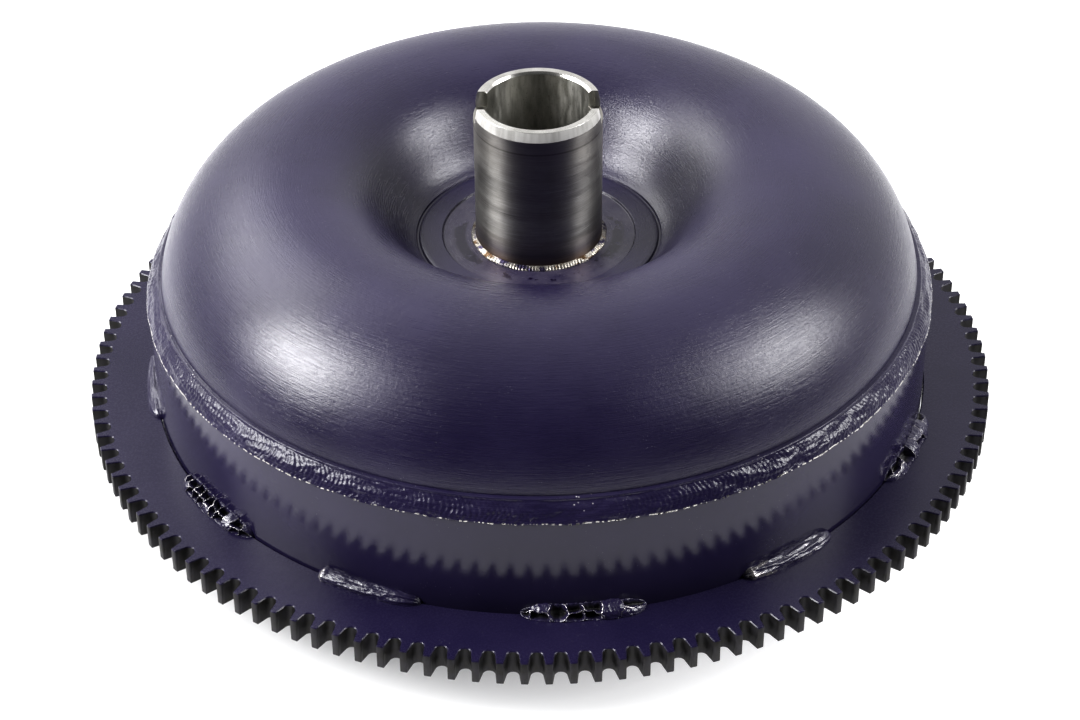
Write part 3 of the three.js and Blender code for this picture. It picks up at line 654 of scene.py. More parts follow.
def lead_in_steel():
    """The hub's lead-in chamfer: pale, freshly cut, with soft chatter marks down it."""
    look = Look("lead_in_steel", Metallic=0.25)
    chatter = look.noise(look.turned(7.0, 40.0), 1.0, 3.0)
    turning = look.noise(look.turned(1.0, 7000.0), 1.0, 3.0, 0.7)
    colour = look.mix(look.span(chatter, 0.35, 0.65), (0.5, 0.49, 0.47), (0.74, 0.73, 0.71))
    rough = look.span(turning, 0.3, 0.7, 0.26, 0.38)
    return look.finish(Base_Color=colour, Roughness=rough, Normal=look.bump(turning, 0.00001))


def steel(name, dark, pale, roughness=(0.22, 0.34), lines=9000.0):
    """Turned or ground steel with fine lines round the axis."""
    look = Look(name, Metallic=1.0, Anisotropic=0.75, Anisotropic_Rotation=0.25)
    turning = look.noise(look.turned(1.5, lines), 1.0, 3.0, 0.7)
    stain = look.noise(look.place, 150.0, 4.0)
    colour = look.mix(look.span(stain, 0.3, 0.7), dark, pale)
    rough = look.span(turning, 0.3, 0.7, *roughness)
    return look.finish(Base_Color=colour, Roughness=rough, Normal=look.bump(turning, 0.000012),
                       Tangent=look.round_axis())


def cast_aluminium():
    look = Look("cast_aluminium", Metallic=0.9)
    grain = look.noise(look.place, 1100.0, 4.0, 0.65)
    stain = look.noise(look.place, 60.0, 4.0)
    colour = look.mix(look.span(stain, 0.3, 0.7), (0.42, 0.41, 0.39), (0.62, 0.62, 0.61))
    rough = look.span(grain, 0.3, 0.7, 0.38, 0.58)
    return look.finish(Base_Color=colour, Roughness=rough, Normal=look.bump(grain, 0.00009))


def hub_weld_metal():
    """The bead at the foot of the hub: bright fused metal, straw, brown and purple patches."""
    look = Look("hub_weld_metal", Metallic=0.8)
    patch = look.noise(look.place, 190.0, 5.0, 0.65)
    grain = look.noise(look.place, 2200.0, 3.0)
    colour = look.mix(look.span(patch, 0.42, 0.5), (0.035, 0.028, 0.06), (0.32, 0.30, 0.27))
    colour = look.mix(look.span(patch, 0.56, 0.64), colour, (0.10, 0.06, 0.03))
    rough = look.span(grain, 0.3, 0.7, 0.2, 0.4)
    return look.finish(Base_Color=colour, Roughness=rough, Normal=look.bump(grain, 0.00007))


# ---------------------------------------------------------------- housing


def impeller_shell(finish):
    groove = [
        (POCKET + 0.2, POCKET_FLOOR - 0.1), (POCKET - 0.1, POCKET_FLOOR - 0.8),
        (POCKET - 0.7, POCKET_FLOOR - 0.9), (POCKET - 1.2, POCKET_FLOOR - 0.2),
        (POCKET - 1.9, POCKET_FLOOR + 0.05), (POCKET - 2.8, POCKET_FLOOR),
    ]
    outside = [(SKIRT, SKIRT_LOW), (SKIRT, WALL_TOP + 7)]
    outside += [p for p in shoulder(0, 72) if p[1] > WALL_TOP + 8]
    outside += bowl(0, 72)[:-2] + groove
    outside += filleted([
        (POCKET - 4, POCKET_FLOOR, 0), (POCKET_STEP + 0.5, POCKET_FLOOR),
        (POCKET_STEP, POCKET_FLOOR - 0.8), (HUB + 0.3, POCKET_FLOOR - 0.8, 0),
    ], 0.35)
    inside = [(SKIRT - SHELL, SKIRT_LOW), (SKIRT - SHELL, DOME_BASE + 4)]
    inside += [p for p in shoulder(SHELL, 36) if p[1] > DOME_BASE + 5]
    inside += [p for p in bowl(SHELL, 36) if p[1] > POCKET_FLOOR - SHELL + 0.3]
    inside += [(POCKET, POCKET_FLOOR - SHELL), (HUB + 0.3, POCKET_FLOOR - SHELL)]
    mesh = turned_mesh("impeller_shell_fine", outside + inside[::-1], 360, angle=math.radians(25))
    piece("impeller_shell", mesh, "housing", finish)


def front_cover(finish):
    face = COVER_FACE
    outline = filleted([
        (0, COVER_LOW, 0), (28, COVER_LOW, 0), (62, COVER_LOW, 3), (70, face, 3),
        (104, face, 2), (107, face - 1.2, 2), (111, face - 1.2, 2), (114, face, 2),
        (WALL, face, 8), (WALL, RIM, 0.3), (WALL - 5, RIM, 0.3),
        (WALL - 5, face + 5, 4), (68, face + 5, 3),
        (60, COVER_LOW + 5, 3), (0, COVER_LOW + 5, 0),
    ], arc=8)
    mesh = turned_mesh("front_cover_fine", outline, 320)
    piece("front_cover", mesh, "housing", finish)


def seam_weld(finish):
    """The closing weld: a flowing, rippled bead from the cover's rim up to the shell."""
    foot, toe = np.array([WALL + 0.3, RIM - 0.15]), np.array([SKIRT + 0.4, RIM + 7.2])
    outward = np.array([0.81, 0.59])
    steps, columns = ((2600, 30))
    theta = (np.arange(steps) / steps * TAU)[:, None]
    u = np.linspace(0, 1, columns)[None, :]
    round_axis = np.stack([np.cos(theta) * WALL + 0 * u, np.sin(theta) * WALL + 0 * u], -1)
    arc = theta * WALL + 0 * u

    def flow(length, width, shift=0.0):
        across = (u * 9.0 / width + shift + 0 * theta)[..., None]
        return smooth_noise(np.concatenate([round_axis / length, across], -1), 1.0)

    patchy = np.clip(0.55 + 1.1 * flow(34.0, 30.0, 3.0), 0.05, 1.0)
    chevron = arc + 11.0 * (u - 0.45) ** 2 + 1.4 * flow(9.0, 6.0, 7.0)
    lump = 0.55 * flow(10.0, 3.2) + 0.24 * flow(3.4, 1.6, 11.0) + 0.10 * flow(1.1, 0.8, 23.0)
    lump += 0.10 * patchy * np.sin(chevron / 1.8 * TAU)
    for degrees, width, size in SEAM_BLOBS:
        gap = (theta - math.radians(degrees) + math.pi) % TAU - math.pi
        lump += size * np.exp(-((gap / math.radians(width / 2)) ** 2)) * (1.2 - u)
    body = np.sin(np.pi * np.clip(0.12 + 0.88 * u, 0, 1)) ** 0.5 + 0.15
    lip = 0.55 * np.exp(-(((u - 0.92) / 0.05) ** 2))
    bulge = 0.75 * np.sin(np.pi * u) ** 0.8 + 0.85 * lump * body * (1 - lip) + lip
    ragged = np.exp(-((u / 0.10) ** 2))
    drop = ragged * (0.5 * flow(7.0, 99.0, 5.0) + 0.35 * flow(2.2, 99.0, 9.0))
    face = foot * (1 - u[..., None]) + toe * u[..., None] + bulge[..., None] * outward
    radius, height = face[..., 0] + 0.25 * ragged, face[..., 1] + drop
    radius = np.minimum(radius, WALL + 1.4)
    back = np.array([(SKIRT + 0.1, RIM + 7.3), (SKIRT + 0.3, RIM - 1.0), (WALL - 0.4, RIM - 1.0)])
    radius = np.concatenate([radius, np.tile(back[:, 0], (steps, 1))], 1)
    height = np.concatenate([height, np.tile(back[:, 1], (steps, 1))], 1)
    grid = polar(radius, theta, height)
    bare = np.clip(flow(1.1, 99.0, 2.0) * 4.0 + 0.75 + 1.5 * flow(40.0, 99.0, 4.0), 0, 1)
    bare = bare * np.exp(-(((u - 0.02) / 0.03) ** 2))
    crust = np.concatenate([bare, np.zeros((steps, 3))], 1)
    values = {"along": height * MM, "crust": crust, "pit": 0 * crust}
    mesh = tidy(mesh_from_grid("seam_weld_fine", grid, attributes=values), math.radians(70))
    piece("seam_weld", mesh, "housing", finish)


def tooth_outline():
    """The ring gear's outline: round-bottomed valleys between narrow teeth."""
    pitch = TAU / GEAR_TEETH
    half_valley = []
    for k in range(6):
        t = math.radians(18 * k)
        half_valley.append((2.2 * math.sin(t), GEAR_ROOT - 0.3 + 2.3 * (1 - math.cos(t))))
    half_valley += [(2.4, GEAR_ROOT + 3.0), (2.6, GEAR_ROOT + 4.1), (2.78, GEAR_TIP - 0.5)]
    half_valley += [(2.84, GEAR_TIP - 0.15), (3.05, GEAR_TIP)]
    points = []
    for i in range(GEAR_TEETH):
        middle = GEAR_PHASE + i * pitch
        side = [(middle - pitch / 2 + w / r, r) for w, r in half_valley]
        side += [(middle + pitch / 2 - w / r, r) for w, r in half_valley[:0:-1]]
        points += [(r * math.cos(angle), r * math.sin(angle)) for angle, r in side]
    return np.array(points)


def ring_gear(finish, teeth):
    outline = tooth_outline()
    unit = unit_circle(np.arctan2(outline[:, 1], outline[:, 0]))
    bore = unit * (WALL + 0.35)
    bore_edge = unit * (WALL + 0.75)
    rim = unit * (GEAR_ROOT - 1.6)
    shrunk = inset_outline(outline, 0.3)
    rows = [
        (bore, GEAR_LOW + 0.4), (bore_edge, GEAR_LOW), (rim, GEAR_LOW), (shrunk, GEAR_LOW),
        (outline, GEAR_LOW + 0.35), (outline, GEAR_HIGH - 0.35), (shrunk, GEAR_HIGH),
        (rim, GEAR_HIGH), (bore_edge, GEAR_HIGH), (bore, GEAR_HIGH - 0.4),
    ]
    mesh = stacked_mesh("ring_gear_fine", rows, 3, math.radians(40))
    piece("ring_gear", mesh, "housing", finish, (teeth,))
    paint_faces(mesh, 1, lambda r, z, n: r > GEAR_ROOT - 1.0 and abs(n.z) < 0.35)


def cell_borders(x, y, seeds):
    """How far points are from the border of their own cell, and which seed's cell it is."""
    nearest = np.full(x.shape, 1e3)
    second = nearest.copy()
    owner = np.zeros(x.shape, int)
    for i, (seed_x, seed_y) in enumerate(seeds):
        away = np.hypot(x - seed_x, y - seed_y)
        closer = away < nearest
        second = np.where(closer, nearest, np.minimum(second, away))
        owner = np.where(closer, i, owner)
        nearest = np.where(closer, away, nearest)
    return (second - nearest) / 2, owner


def porous_surface(x, y, length, number):
    """Height, pits and crust of a porous stitch weld: open cells with thin ragged walls."""
    chance = np.random.default_rng(number)
    seeds = []
    spot = -length / 2 + 1.5
    coarse = number in COARSE_WELDS
    while spot < length / 2 - 1:
        for row in (3.9,) if coarse and chance.random() < 0.45 else (2.1, 5.3):
            seeds.append((spot + chance.uniform(-1.2, 1.2), row + chance.uniform(-0.9, 0.9)))
        spot += chance.uniform(4.4, 6.8) if coarse else chance.uniform(3.2, 4.8)
    place = np.stack([x, y, 0 * x + 13.0 * number], -1)
    x = x + 0.9 * smooth_noise(place, 2.2)
    y = y + 0.7 * smooth_noise(place + 40, 2.0)
    border, owner = cell_borders(x, y, seeds)
    is_open = chance.random(len(seeds)) < 0.72
    margin = np.clip(np.minimum(y - 0.3, 7.2 - y) / 0.9, 0, 1)
    margin = margin * np.clip((length / 2 - np.abs(x)) / 2.0, 0, 1)
    wall = np.clip((border - 0.12) / 0.75, 0, 1)
    pit = wall * wall * (3 - 2 * wall) * is_open[owner] * margin
    lump = np.where(is_open[owner], 0, 0.55 * np.sqrt(np.clip(border / 1.4, 0, 1)))
    crust = np.exp(-((border / 0.22) ** 2)) * np.clip(margin * 3, 0, 1)
    crust += 0.6 * np.exp(-((margin - 0.15) / 0.12) ** 2) * (np.abs(y - 3.7) < 3.6)
    height = 0.35 * smooth_noise(place, 5.0) + 0.16 * smooth_noise(place, 0.9)
    return height - 2.7 * pit + lump + 0.3 * crust, pit, np.clip(crust, 0, 1)


def flowing_surface(x, y, length, number):
    """Height, pits and shine of a smooth stitch weld: long glossy ridges and fat ends."""
    place = np.stack([x / 7.0, y / 1.5, 0 * x + 5.0 * number], -1)
    flow = smooth_noise(place, 1.0)
    fine = smooth_noise(place * (4.0, 2.0, 1.0), 1.0)
    ends = np.exp(-(((length / 2 - 2.4 + x) / 1.9) ** 2))
    gain = 1.0 if number in BRIGHT_WELDS else 0.12
    height = (0.3 + 0.2 * gain) * flow + 0.1 * fine + 0.7 * ends
    shine = np.clip(0.8 * ends + gain * (1.6 * smooth_noise(place + 9, 1.3) + 0.1), 0, 1)
    return height, 0 * x, shine


def stitch_weld(number, finish):
    """One stitch weld in the corner between wall and gear, porous or smooth."""
    node = f"ring_gear_weld_{number}"
    centre = (low(node) + high(node)) / 2
    middle = math.atan2(centre.y, centre.x)
    smooth = number in SMOOTH_WELDS
    length = 39.0 if smooth else 43.0
    base = 3.4 if smooth else 4.1
    rows, columns = ((400, 46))
    x = np.linspace(-length / 2, length / 2, rows)[:, None]
    phi = np.linspace(-0.05, 1.05, columns)[None, :] * math.pi / 2
    x, phi = x + 0 * phi, phi + 0 * x
    surface = flowing_surface if smooth else porous_surface
    detail, pit, crust = surface(x, phi / (math.pi / 2) * 7.5, length, number)
    reach = np.abs(2 * x / length)
    taper = np.clip(1 - reach ** (7.0 if smooth else 4.0), 0, 1) ** 0.6
    size = (base + detail) * taper
    radius = WALL - 0.05 + 1.22 * size * np.cos(phi)
    height = GEAR_HIGH - 0.05 + size * np.sin(phi)
    corner = np.zeros((rows, 1))
    radius = np.concatenate([radius, corner + WALL - 0.5], 1)
    height = np.concatenate([height, corner + GEAR_HIGH - 0.5], 1)
    theta = middle + np.concatenate([x, x[:, :1]], 1) / WALL
    grid = polar(radius, theta, height)
    values = {
        "pit": np.concatenate([pit, corner], 1),
        "crust": np.concatenate([crust, corner], 1),
        "along": height * MM,
    }
    mesh = mesh_from_grid(node + "_fine", grid, turn=False, attributes=values)
    tidy(mesh, math.radians(80))
    piece(node, mesh, "housing", finish)


def slotted(mesh):
    """The turned hub with its two drive slots cut and its edges broken."""
    body = linked("pump_hub_blank", mesh)
    cutter_mesh = bpy.data.meshes.new("slot_cutter")
    work = bmesh.new()
    bmesh.ops.create_cube(work, size=1.0)
    size = (0.08, SLOT_WIDTH * MM, 2 * SLOT_DEPTH * MM)
    bmesh.ops.scale(work, vec=size, verts=work.verts)
    bmesh.ops.translate(work, vec=(0, 0, HUB_TOP * MM), verts=work.verts)
    work.to_mesh(cutter_mesh)
    work.free()
    cutter = linked("slot_cutter", cutter_mesh)
    cut = body.modifiers.new("slots", "BOOLEAN")
    cut.object = cutter
    cut.solver = "EXACT"
    edge = body.modifiers.new("edges", "BEVEL")
    edge.width = 0.00012
    edge.segments = 2
    edge.limit_method = "ANGLE"
    edge.angle_limit = math.radians(55)
    bpy.context.view_layer.update()
    graph = bpy.context.evaluated_depsgraph_get()
    result = bpy.data.meshes.new_from_object(body.evaluated_get(graph), depsgraph=graph)
    result.name = "pump_hub_fine"
    bpy.data.objects.remove(body)
    bpy.data.objects.remove(cutter)
    result.materials.clear()
    result.polygons.foreach_set("use_smooth", [True] * len(result.polygons))
    result.set_sharp_from_angle(angle=math.radians(25))
    return result


def pump_hub(journal, bright, bored, lead_in):
    """The hub: journal, wide bright lead-in chamfer, bore and two drive slots."""
    outline = filleted([
        (HUB_BORE, HUB_FLANGE_LOW, 0.4), (HUB_FLANGE, HUB_FLANGE_LOW, 0.6),
        (HUB_FLANGE, POCKET_FLOOR - 4.4, 0.6), (HUB, POCKET_FLOOR - 4.4, 0),
        (HUB, LEAD_IN_LOW, 0.12), (HUB - 0.75, HUB_TOP, 0.15),
        (HUB_BORE + 0.9, HUB_TOP, 0.12), (HUB_BORE, HUB_TOP - 0.9, 0.2),
    ], arc=3)
    mesh = slotted(turned_mesh("pump_hub_fine", outline, 256))
    piece("pump_hub", mesh, "housing", journal, (bright, bored, lead_in))
    edge = HUB - 0.8
    slot_low = HUB_TOP - SLOT_DEPTH - 0.2
    paint_faces(mesh, 1, lambda r, z, n: z > LEAD_IN_LOW and (n.z > 0.12 or r > edge))
    paint_faces(mesh, 3, lambda r, z, n: z > LEAD_IN_LOW and r > edge and n.z < 0.6)
    paint_faces(mesh, 2, lambda r, z, n: r < HUB_BORE + 0.3 and n.z < 0.3)
    paint_faces(mesh, 2, lambda r, z, n: z > slot_low and abs(n.y) > 0.9 and r < HUB - 0.4)


def hub_weld(finish):
    foot = POCKET_FLOOR - 0.8
    outline = filleted([
        (HUB + 0.05, foot - 0.2, 0), (HUB + 2.0, foot - 0.1, 0.4), (HUB + 1.4, foot + 0.6, 0.6),
        (HUB + 0.6, foot + 1.2, 0.6), (HUB + 0.05, foot + 1.6, 0.2),
    ], arc=4)

    def warp(theta, radius, height):
        ring = np.stack([np.cos(theta) * HUB + 0 * radius, np.sin(theta) * HUB + 0 * radius,
                         height * 1.5], -1)
        outer = np.clip((radius - HUB - 0.1) / 0.8, 0, 1)
        ripple = np.sin(theta * HUB / 1.1 * TAU + 2 * smooth_noise(ring, 5.0))
        out = outer * (0.10 * ripple + 0.4 * smooth_noise(ring, 4.0))
        return out, outer * 0.12 * smooth_noise(ring + 31, 2.0)

    mesh = turned_mesh("hub_weld_fine", outline, 960, warp, math.radians(70))
    piece("hub_weld", mesh, "housing", finish)


def crank_pilot(finish):
    outline = filleted([
        (0, 2.2, 0), (3.2, 2.2, 0.3), (5.4, 0, 0.3), (PILOT - 1.5, 0, 0.3), (PILOT, 1.5, 0.3),
        (PILOT, COVER_LOW - 3.4, 0.8), (PILOT - 0.6, COVER_LOW - 2.6, 0.8),
        (PILOT + 2.6, COVER_LOW - 1.2, 1.4), (PILOT + 4, COVER_LOW - 0.05, 0.2),
        (0, COVER_LOW - 0.05, 0),
    ], arc=4)
    mesh = turned_mesh("crank_pilot_fine", outline, 192)
    piece("crank_pilot", mesh, "housing", finish)


def rounded_square(half, corner, count):
    """Points of a rounded square, evenly spread by angle, so that it pairs with a circle."""
    points = []
    for i in range(count):
        angle = i / count * TAU
        direction = np.array([math.cos(angle), math.sin(angle)])
        power = half / corner
        reach = half / (np.abs(direction) ** (2 * power)).sum() ** (1 / (2 * power))
        points.append(direction * reach)
    return np.array(points)


def threaded_wall(radius, low_z, high_z, pitch, steps):
    """Rows of a threaded hole's wall, from the bottom up, as (points, heights) pairs."""
    rows = []
    angles = np.arange(steps) / steps * TAU
    count = int((high_z - low_z) / (pitch / 4))
    for k in range(count + 1):
        base = low_z + (high_z - low_z) * k / count
        phase = (base / pitch - angles / TAU) % 1.0
        depth = 0.42 * np.abs(2 * phase - 1)
        rows.append((unit_circle(angles) * (radius - 0.1 + depth)[:, None], base))
    return rows


def mounting_lug(number, finish):
    node = f"mounting_lug_{number}"
    low_z, high_z = low(node).z, high(node).z + 0.25
    count = 48
    outer = rounded_square(12.5, 4.5, count)
    hole = 3.75
    rows = [
        (circle(hole + 1.0, count), low_z), (outer - 0.05 * outer, low_z),
        (outer, low_z + 0.7), (outer, high_z - 0.2), (outer * 1.03, high_z),
        (circle(hole, count), high_z),
    ]
    thread_pitch = 1.058
    rows += threaded_wall(hole, low_z + 0.9, high_z - 0.3, thread_pitch, count)[::-1]
    place = (math.radians(45 + 360 / LUGS * (number - 1)), (LUG_CIRCLE, 0, 0))
    mesh = stacked_mesh(node + "_fine", rows, 1, place=place)
    piece(node, mesh, "housing", finish)


def drain_plug(number, finish):
    node = f"drain_plug_{number}"
    low_z, high_z = low(node).z, high(node).z + 0.2
    count = 48
    angles = np.arange(count) / count * TAU
    hexagon = 3.2 * math.cos(math.pi / 6) / np.cos((angles + math.pi / 6) % (math.pi / 3)
                                                    - math.pi / 6)
    unit = unit_circle(angles)
    socket = unit * hexagon[:, None]
    rows = [
        (unit * 0.01, low_z + 2.5), (socket, low_z + 2.5), (socket, low_z + 0.3),
        (socket * 1.12, low_z), (circle(6.2, count), low_z), (circle(7, count), low_z + 0.8),
        (circle(7, count), high_z), (unit * 0.01, high_z),
    ]
    place = (math.radians(90 + 360 / PLUGS * (number - 1)), (PLUG_CIRCLE, 0, 0))
    mesh = stacked_mesh(node + "_fine", rows, 1.5, place=place)
    piece(node, mesh, "housing", finish)


# ---------------------------------------------------------------- blades


def core_ring(side):
    inside = (CORE_SIZE[0] - CORE_WALL, CORE_SIZE[1] - CORE_WALL)
    arc = circle_arc((CORE, 0), CORE_SIZE, 0, 180, 24)
    inner = circle_arc((CORE, 0), inside, 180, 0, 24)
    outline = [(r, SPLIT + side * (CORE_GAP + z)) for r, z in arc + inner]
    return turned_mesh("core", outline, 216)


def curved_blade(side, angle, outer, crest, inner, curl):
    """One blade between shell and core ring, swept back round the axis along its length."""
    count, across = 18, 4
    rows = []
    for face in (-0.55, 0.55):
        strip = []
        for i in range(count + 1):
            t = i / count
            turn = math.radians(4 + 150 * t)
            shell = (CREST + (outer - CREST) * math.cos(turn) if t < 0.58
                     else CREST - (CREST - inner) * -math.cos(turn) / 0.9,
                     1.5 + (crest - 1.5) * math.sin(turn) ** 0.85)
            core = (CORE + 19.4 * math.cos(turn), 1.5 + 15.4 * math.sin(turn))
            swing = curl * math.sin(math.pi * t) + 0.5 * curl * (t - 0.5)
            for k in range(across + 1):
                mixed = k / across
                radius = core[0] * (1 - mixed) + shell[0] * mixed
                height = core[1] * (1 - mixed) + shell[1] * mixed
                at = angle + swing + face / radius
                strip.append((radius * math.cos(at), radius * math.sin(at),
                              SPLIT + side * height))
        rows.append(np.array(strip).reshape(count + 1, across + 1, 3))
    grid = np.concatenate([rows[0], rows[1][:, ::-1]], 1)
    return tidy(mesh_from_grid("blade", grid, turn=False))


def blade_ring(node, body, side, finish, count, **blade):
    meshes = [core_ring(side)]
    for i in range(count):
        meshes.append(curved_blade(side, i / count * TAU, **blade))
    piece(node, joined_mesh(node + "_fine", meshes), body, finish)


# ---------------------------------------------------------------- turbine


def turbine_shell(finish):
    crest_z = low("turbine_shell").z
    rim = high("turbine_shell").x
    arc = circle_arc((CREST, SPLIT - 2), (rim - CREST, SPLIT - 2 - crest_z), 0, -90, 28)
    inner = circle_arc((CREST, SPLIT - 2), (rim - CREST - 2, SPLIT - 4 - crest_z), -90, 0, 28)
    bend = filleted([(CREST - 6, crest_z + 0.2, 0), (70, crest_z + 4, 9), (55, 43, 5),
                     (32.2, 43, 0)], arc=8)[:-1]
    back = filleted([(32.2, 45, 0), (56, 45, 5), (71, crest_z + 6.2, 9),
                     (CREST - 6, crest_z + 2.2, 0)], arc=8)[:-1]
    outline = arc + bend[1:] + [(32.2, 43)] + [(32.2, 45)] + back[1:] + inner
    mesh = turned_mesh("turbine_shell_fine", outline, 256)
    piece("turbine_shell", mesh, "turbine", finish)


def splined_outline(teeth, tip, root):
    """Outline of a splined bore, with even steps by angle and trapezoid teeth."""
    total = teeth * 8
    angles = np.arange(total) / total * TAU
    phase = (angles * teeth / TAU) % 1.0
    wave = np.clip((np.abs(phase - 0.5) - 0.17) / 0.1, 0, 1)
    return unit_circle(angles) * (tip + (root - tip) * wave)[:, None]


def splined_body(name, profile, teeth, tip, root):
    """A turned body with a splined through bore; the profile runs from the bore's foot up."""
    spline = splined_outline(teeth, tip, root)
    count = len(spline)
    bottom, top = profile[0][1], profile[-1][1]
    rows = [(circle(radius, count), z) for radius, z in profile]
    rows += [(spline * 1.03, top), (spline, top - 0.5), (spline, bottom + 0.5),
             (spline * 1.03, bottom)]
    return stacked_mesh(name, rows, 1.7)


def turbine_hub(finish):
    foot, top = levels("turbine_hub")
    flange = high("turbine_hub").x
    profile = [
        (27.4, foot), (28, foot + 0.6), (28, 23.6), (23.4, 26.8), (23, 27.6), (23, 35.6),
        (25.6, 38), (26.4, 38.5), (flange - 0.5, 38.5), (flange, 39), (flange, 42.2),
        (flange - 0.5, 42.7), (30.9, 42.7), (30.7, 43), (30.7, top - 0.6), (30.1, top),
    ]
    mesh = splined_body("turbine_hub_fine", profile, *TURBINE_SPLINE)
    piece("turbine_hub", mesh, "turbine", finish)


def turbine_rivet(number, finish):
    node = f"turbine_rivet_{number}"
    base, top = levels(node)
    dome = circle_arc((0, top - 1.5), (4.6, 1.5), 0, 90, 8)
    outline = [(0, base), (4.0, base), (4.6, base + 0.5), (4.6, base + 1.45),
               (3.0, base + 1.5), (3.0, top - 1.5)] + dome
    mesh = turned_mesh(node + "_fine", outline, 48)
    placed(mesh, (number - 1) / RIVETS * TAU, (RIVET_CIRCLE, 0, 0))
    piece(node, mesh, "turbine", finish)


# ---------------------------------------------------------------- stator, clutch, bearings


def washer(node, body, finish, inner):
    """A flat ring that fills its CAD node's box, with softened edges."""
    base, top = levels(node)
    outer = high(node).x
    outline = filleted([(inner, base), (outer, base), (outer, top), (inner, top)], 0.25, 3)
    piece(node, turned_mesh(node + "_fine", outline, 160), body, finish)


def bearing_race(node, body, finishes):
    washer(node, body, finishes["ground"], RACE_BORE)


def stator_wheel(finish):
    node = "stator_wheel"
    base, top = levels(node)
    bore, hub = STATOR_RIM
    rim = turned_mesh("rim", filleted([
        (bore, base, 0.6), (hub, base, 1.2), (hub + 0.4, (base + top) / 2, 0), (hub, top, 1.2),
        (bore, top, 0.6)]), 160)
    inner, outer = SHROUD
    shroud = turned_mesh("shroud", filleted([
        (inner, base + 6), (outer, base + 6), (outer, top - 3), (inner, top - 3)], 0.8), 160)
    meshes = [rim, shroud]
    foot, tall = base + 5.0, 22.0
    for i in range(VANES):
        rows = []
        for radius in np.linspace(hub - 0.5, inner + 0.6, 7):
            section = []
            for k in range(40):
                angle = k / 40 * TAU
                chord = 0.5 - 0.5 * math.cos(angle)
                thick = 1.9 * math.sin(angle) * (1 - chord) ** 0.6 + 0.45 * math.sin(angle)
                camber = -5.5 + 9.0 * chord**0.62 + 1.4 * math.sin(math.pi * chord)
                section.append((camber + thick, foot + tall * chord))
            at = i / VANES * TAU
            rows.append([(radius * math.cos(at + s / radius), radius * math.sin(at + s / radius),
                          z) for s, z in section])
        meshes.append(tidy(mesh_from_grid("vane", np.array(rows), turn=False)))
    piece(node, joined_mesh(node + "_fine", meshes), "stator", finish)


def clutch_cam(finish):
    count = ROLLERS * 40
    angles = np.arange(count) / count * TAU
    part = (np.degrees(angles) + 22.5) % 45 - 22.5
    pocket = np.clip((13.0 - np.abs(part)) / 1.4, 0, 1)
    ramp = 32.45 + 0.045 * part
    inner = 28.7 + (ramp - 28.7) * pocket
    unit = unit_circle(angles)
    base, top = levels("clutch_cam")
    mesh = extruded_mesh("clutch_cam_fine", unit * CAM, base, top, unit * inner[:, None])
    piece("clutch_cam", mesh, "stator", finish)


def clutch_cage(finish):
    """Two end rings joined by bars that keep the rollers apart."""
    base, top = levels("clutch_cage")
    inner, outer = CLUTCH_CAGE
    meshes = []
    for z0, z1 in ((base, base + 1.5), (top - 1.5, top)):
        meshes.append(turned_mesh("end_ring", filleted(
            [(inner, z0), (outer, z0), (outer, z1), (inner, z1)], 0.3, 3), 128))
    for i in range(ROLLERS):
        middle = (i + 0.5) / ROLLERS * TAU
        t = np.linspace(-0.155, 0.155, 9)
        rows = []
        for angle in t:
            bar = [(24.5, base + 1.2), (27.8, base + 1.2), (27.8, top - 1.2), (24.5, top - 1.2)]
            rows.append([(r * math.cos(middle + angle), r * math.sin(middle + angle), z)
                         for r, z in bar])
        meshes.append(tidy(mesh_from_grid("bar", np.array(rows), turn=False)))
    mesh = joined_mesh("clutch_cage_fine", meshes)
    piece("clutch_cage", mesh, "stator", finish)


def clutch_roller(number, finish):
    node = f"clutch_roller_{number}"
    base, top = levels(node)
    outline = filleted([(0, base, 0), (ROLLER, base, 0.5), (ROLLER, top, 0.5), (0, top, 0)],
                       arc=4)
    mesh = turned_mesh(node + "_fine", outline, 64)
    placed(mesh, (number - 1) / ROLLERS * TAU, (ROLLER_CIRCLE, 0, 0))
    piece(node, mesh, "roller_set", finish)


def inner_race(finish):
    base, top = levels("clutch_inner_race")
    profile = [(22.9, base), (23.4, base + 0.5), (23.4, top - 0.5), (22.9, top)]
    mesh = splined_body("clutch_inner_race_fine", profile, *RACE_SPLINE)
    piece("clutch_inner_race", mesh, "clutch_race", finish)


def snap_ring(node, finish):
    base, top = levels(node)
    theta = np.linspace(0.11, TAU - 0.11, 200)
    inner, outer = SNAP_RING
    corners = [(inner, base), (outer, base), (outer, top), (inner, top)]
    section = np.array(filleted(corners, 0.2, 3))
    wide = np.tile(section, (len(theta), 1, 1))
    grid = polar(wide[..., 0], theta[:, None], wide[..., 1])
    run = np.tile(np.linspace(0, 8, len(section)) * MM, (len(theta), 1))
    mesh = tidy(mesh_from_grid(node + "_fine", grid, False, {"along": run}))
    piece(node, mesh, "stator", finish)


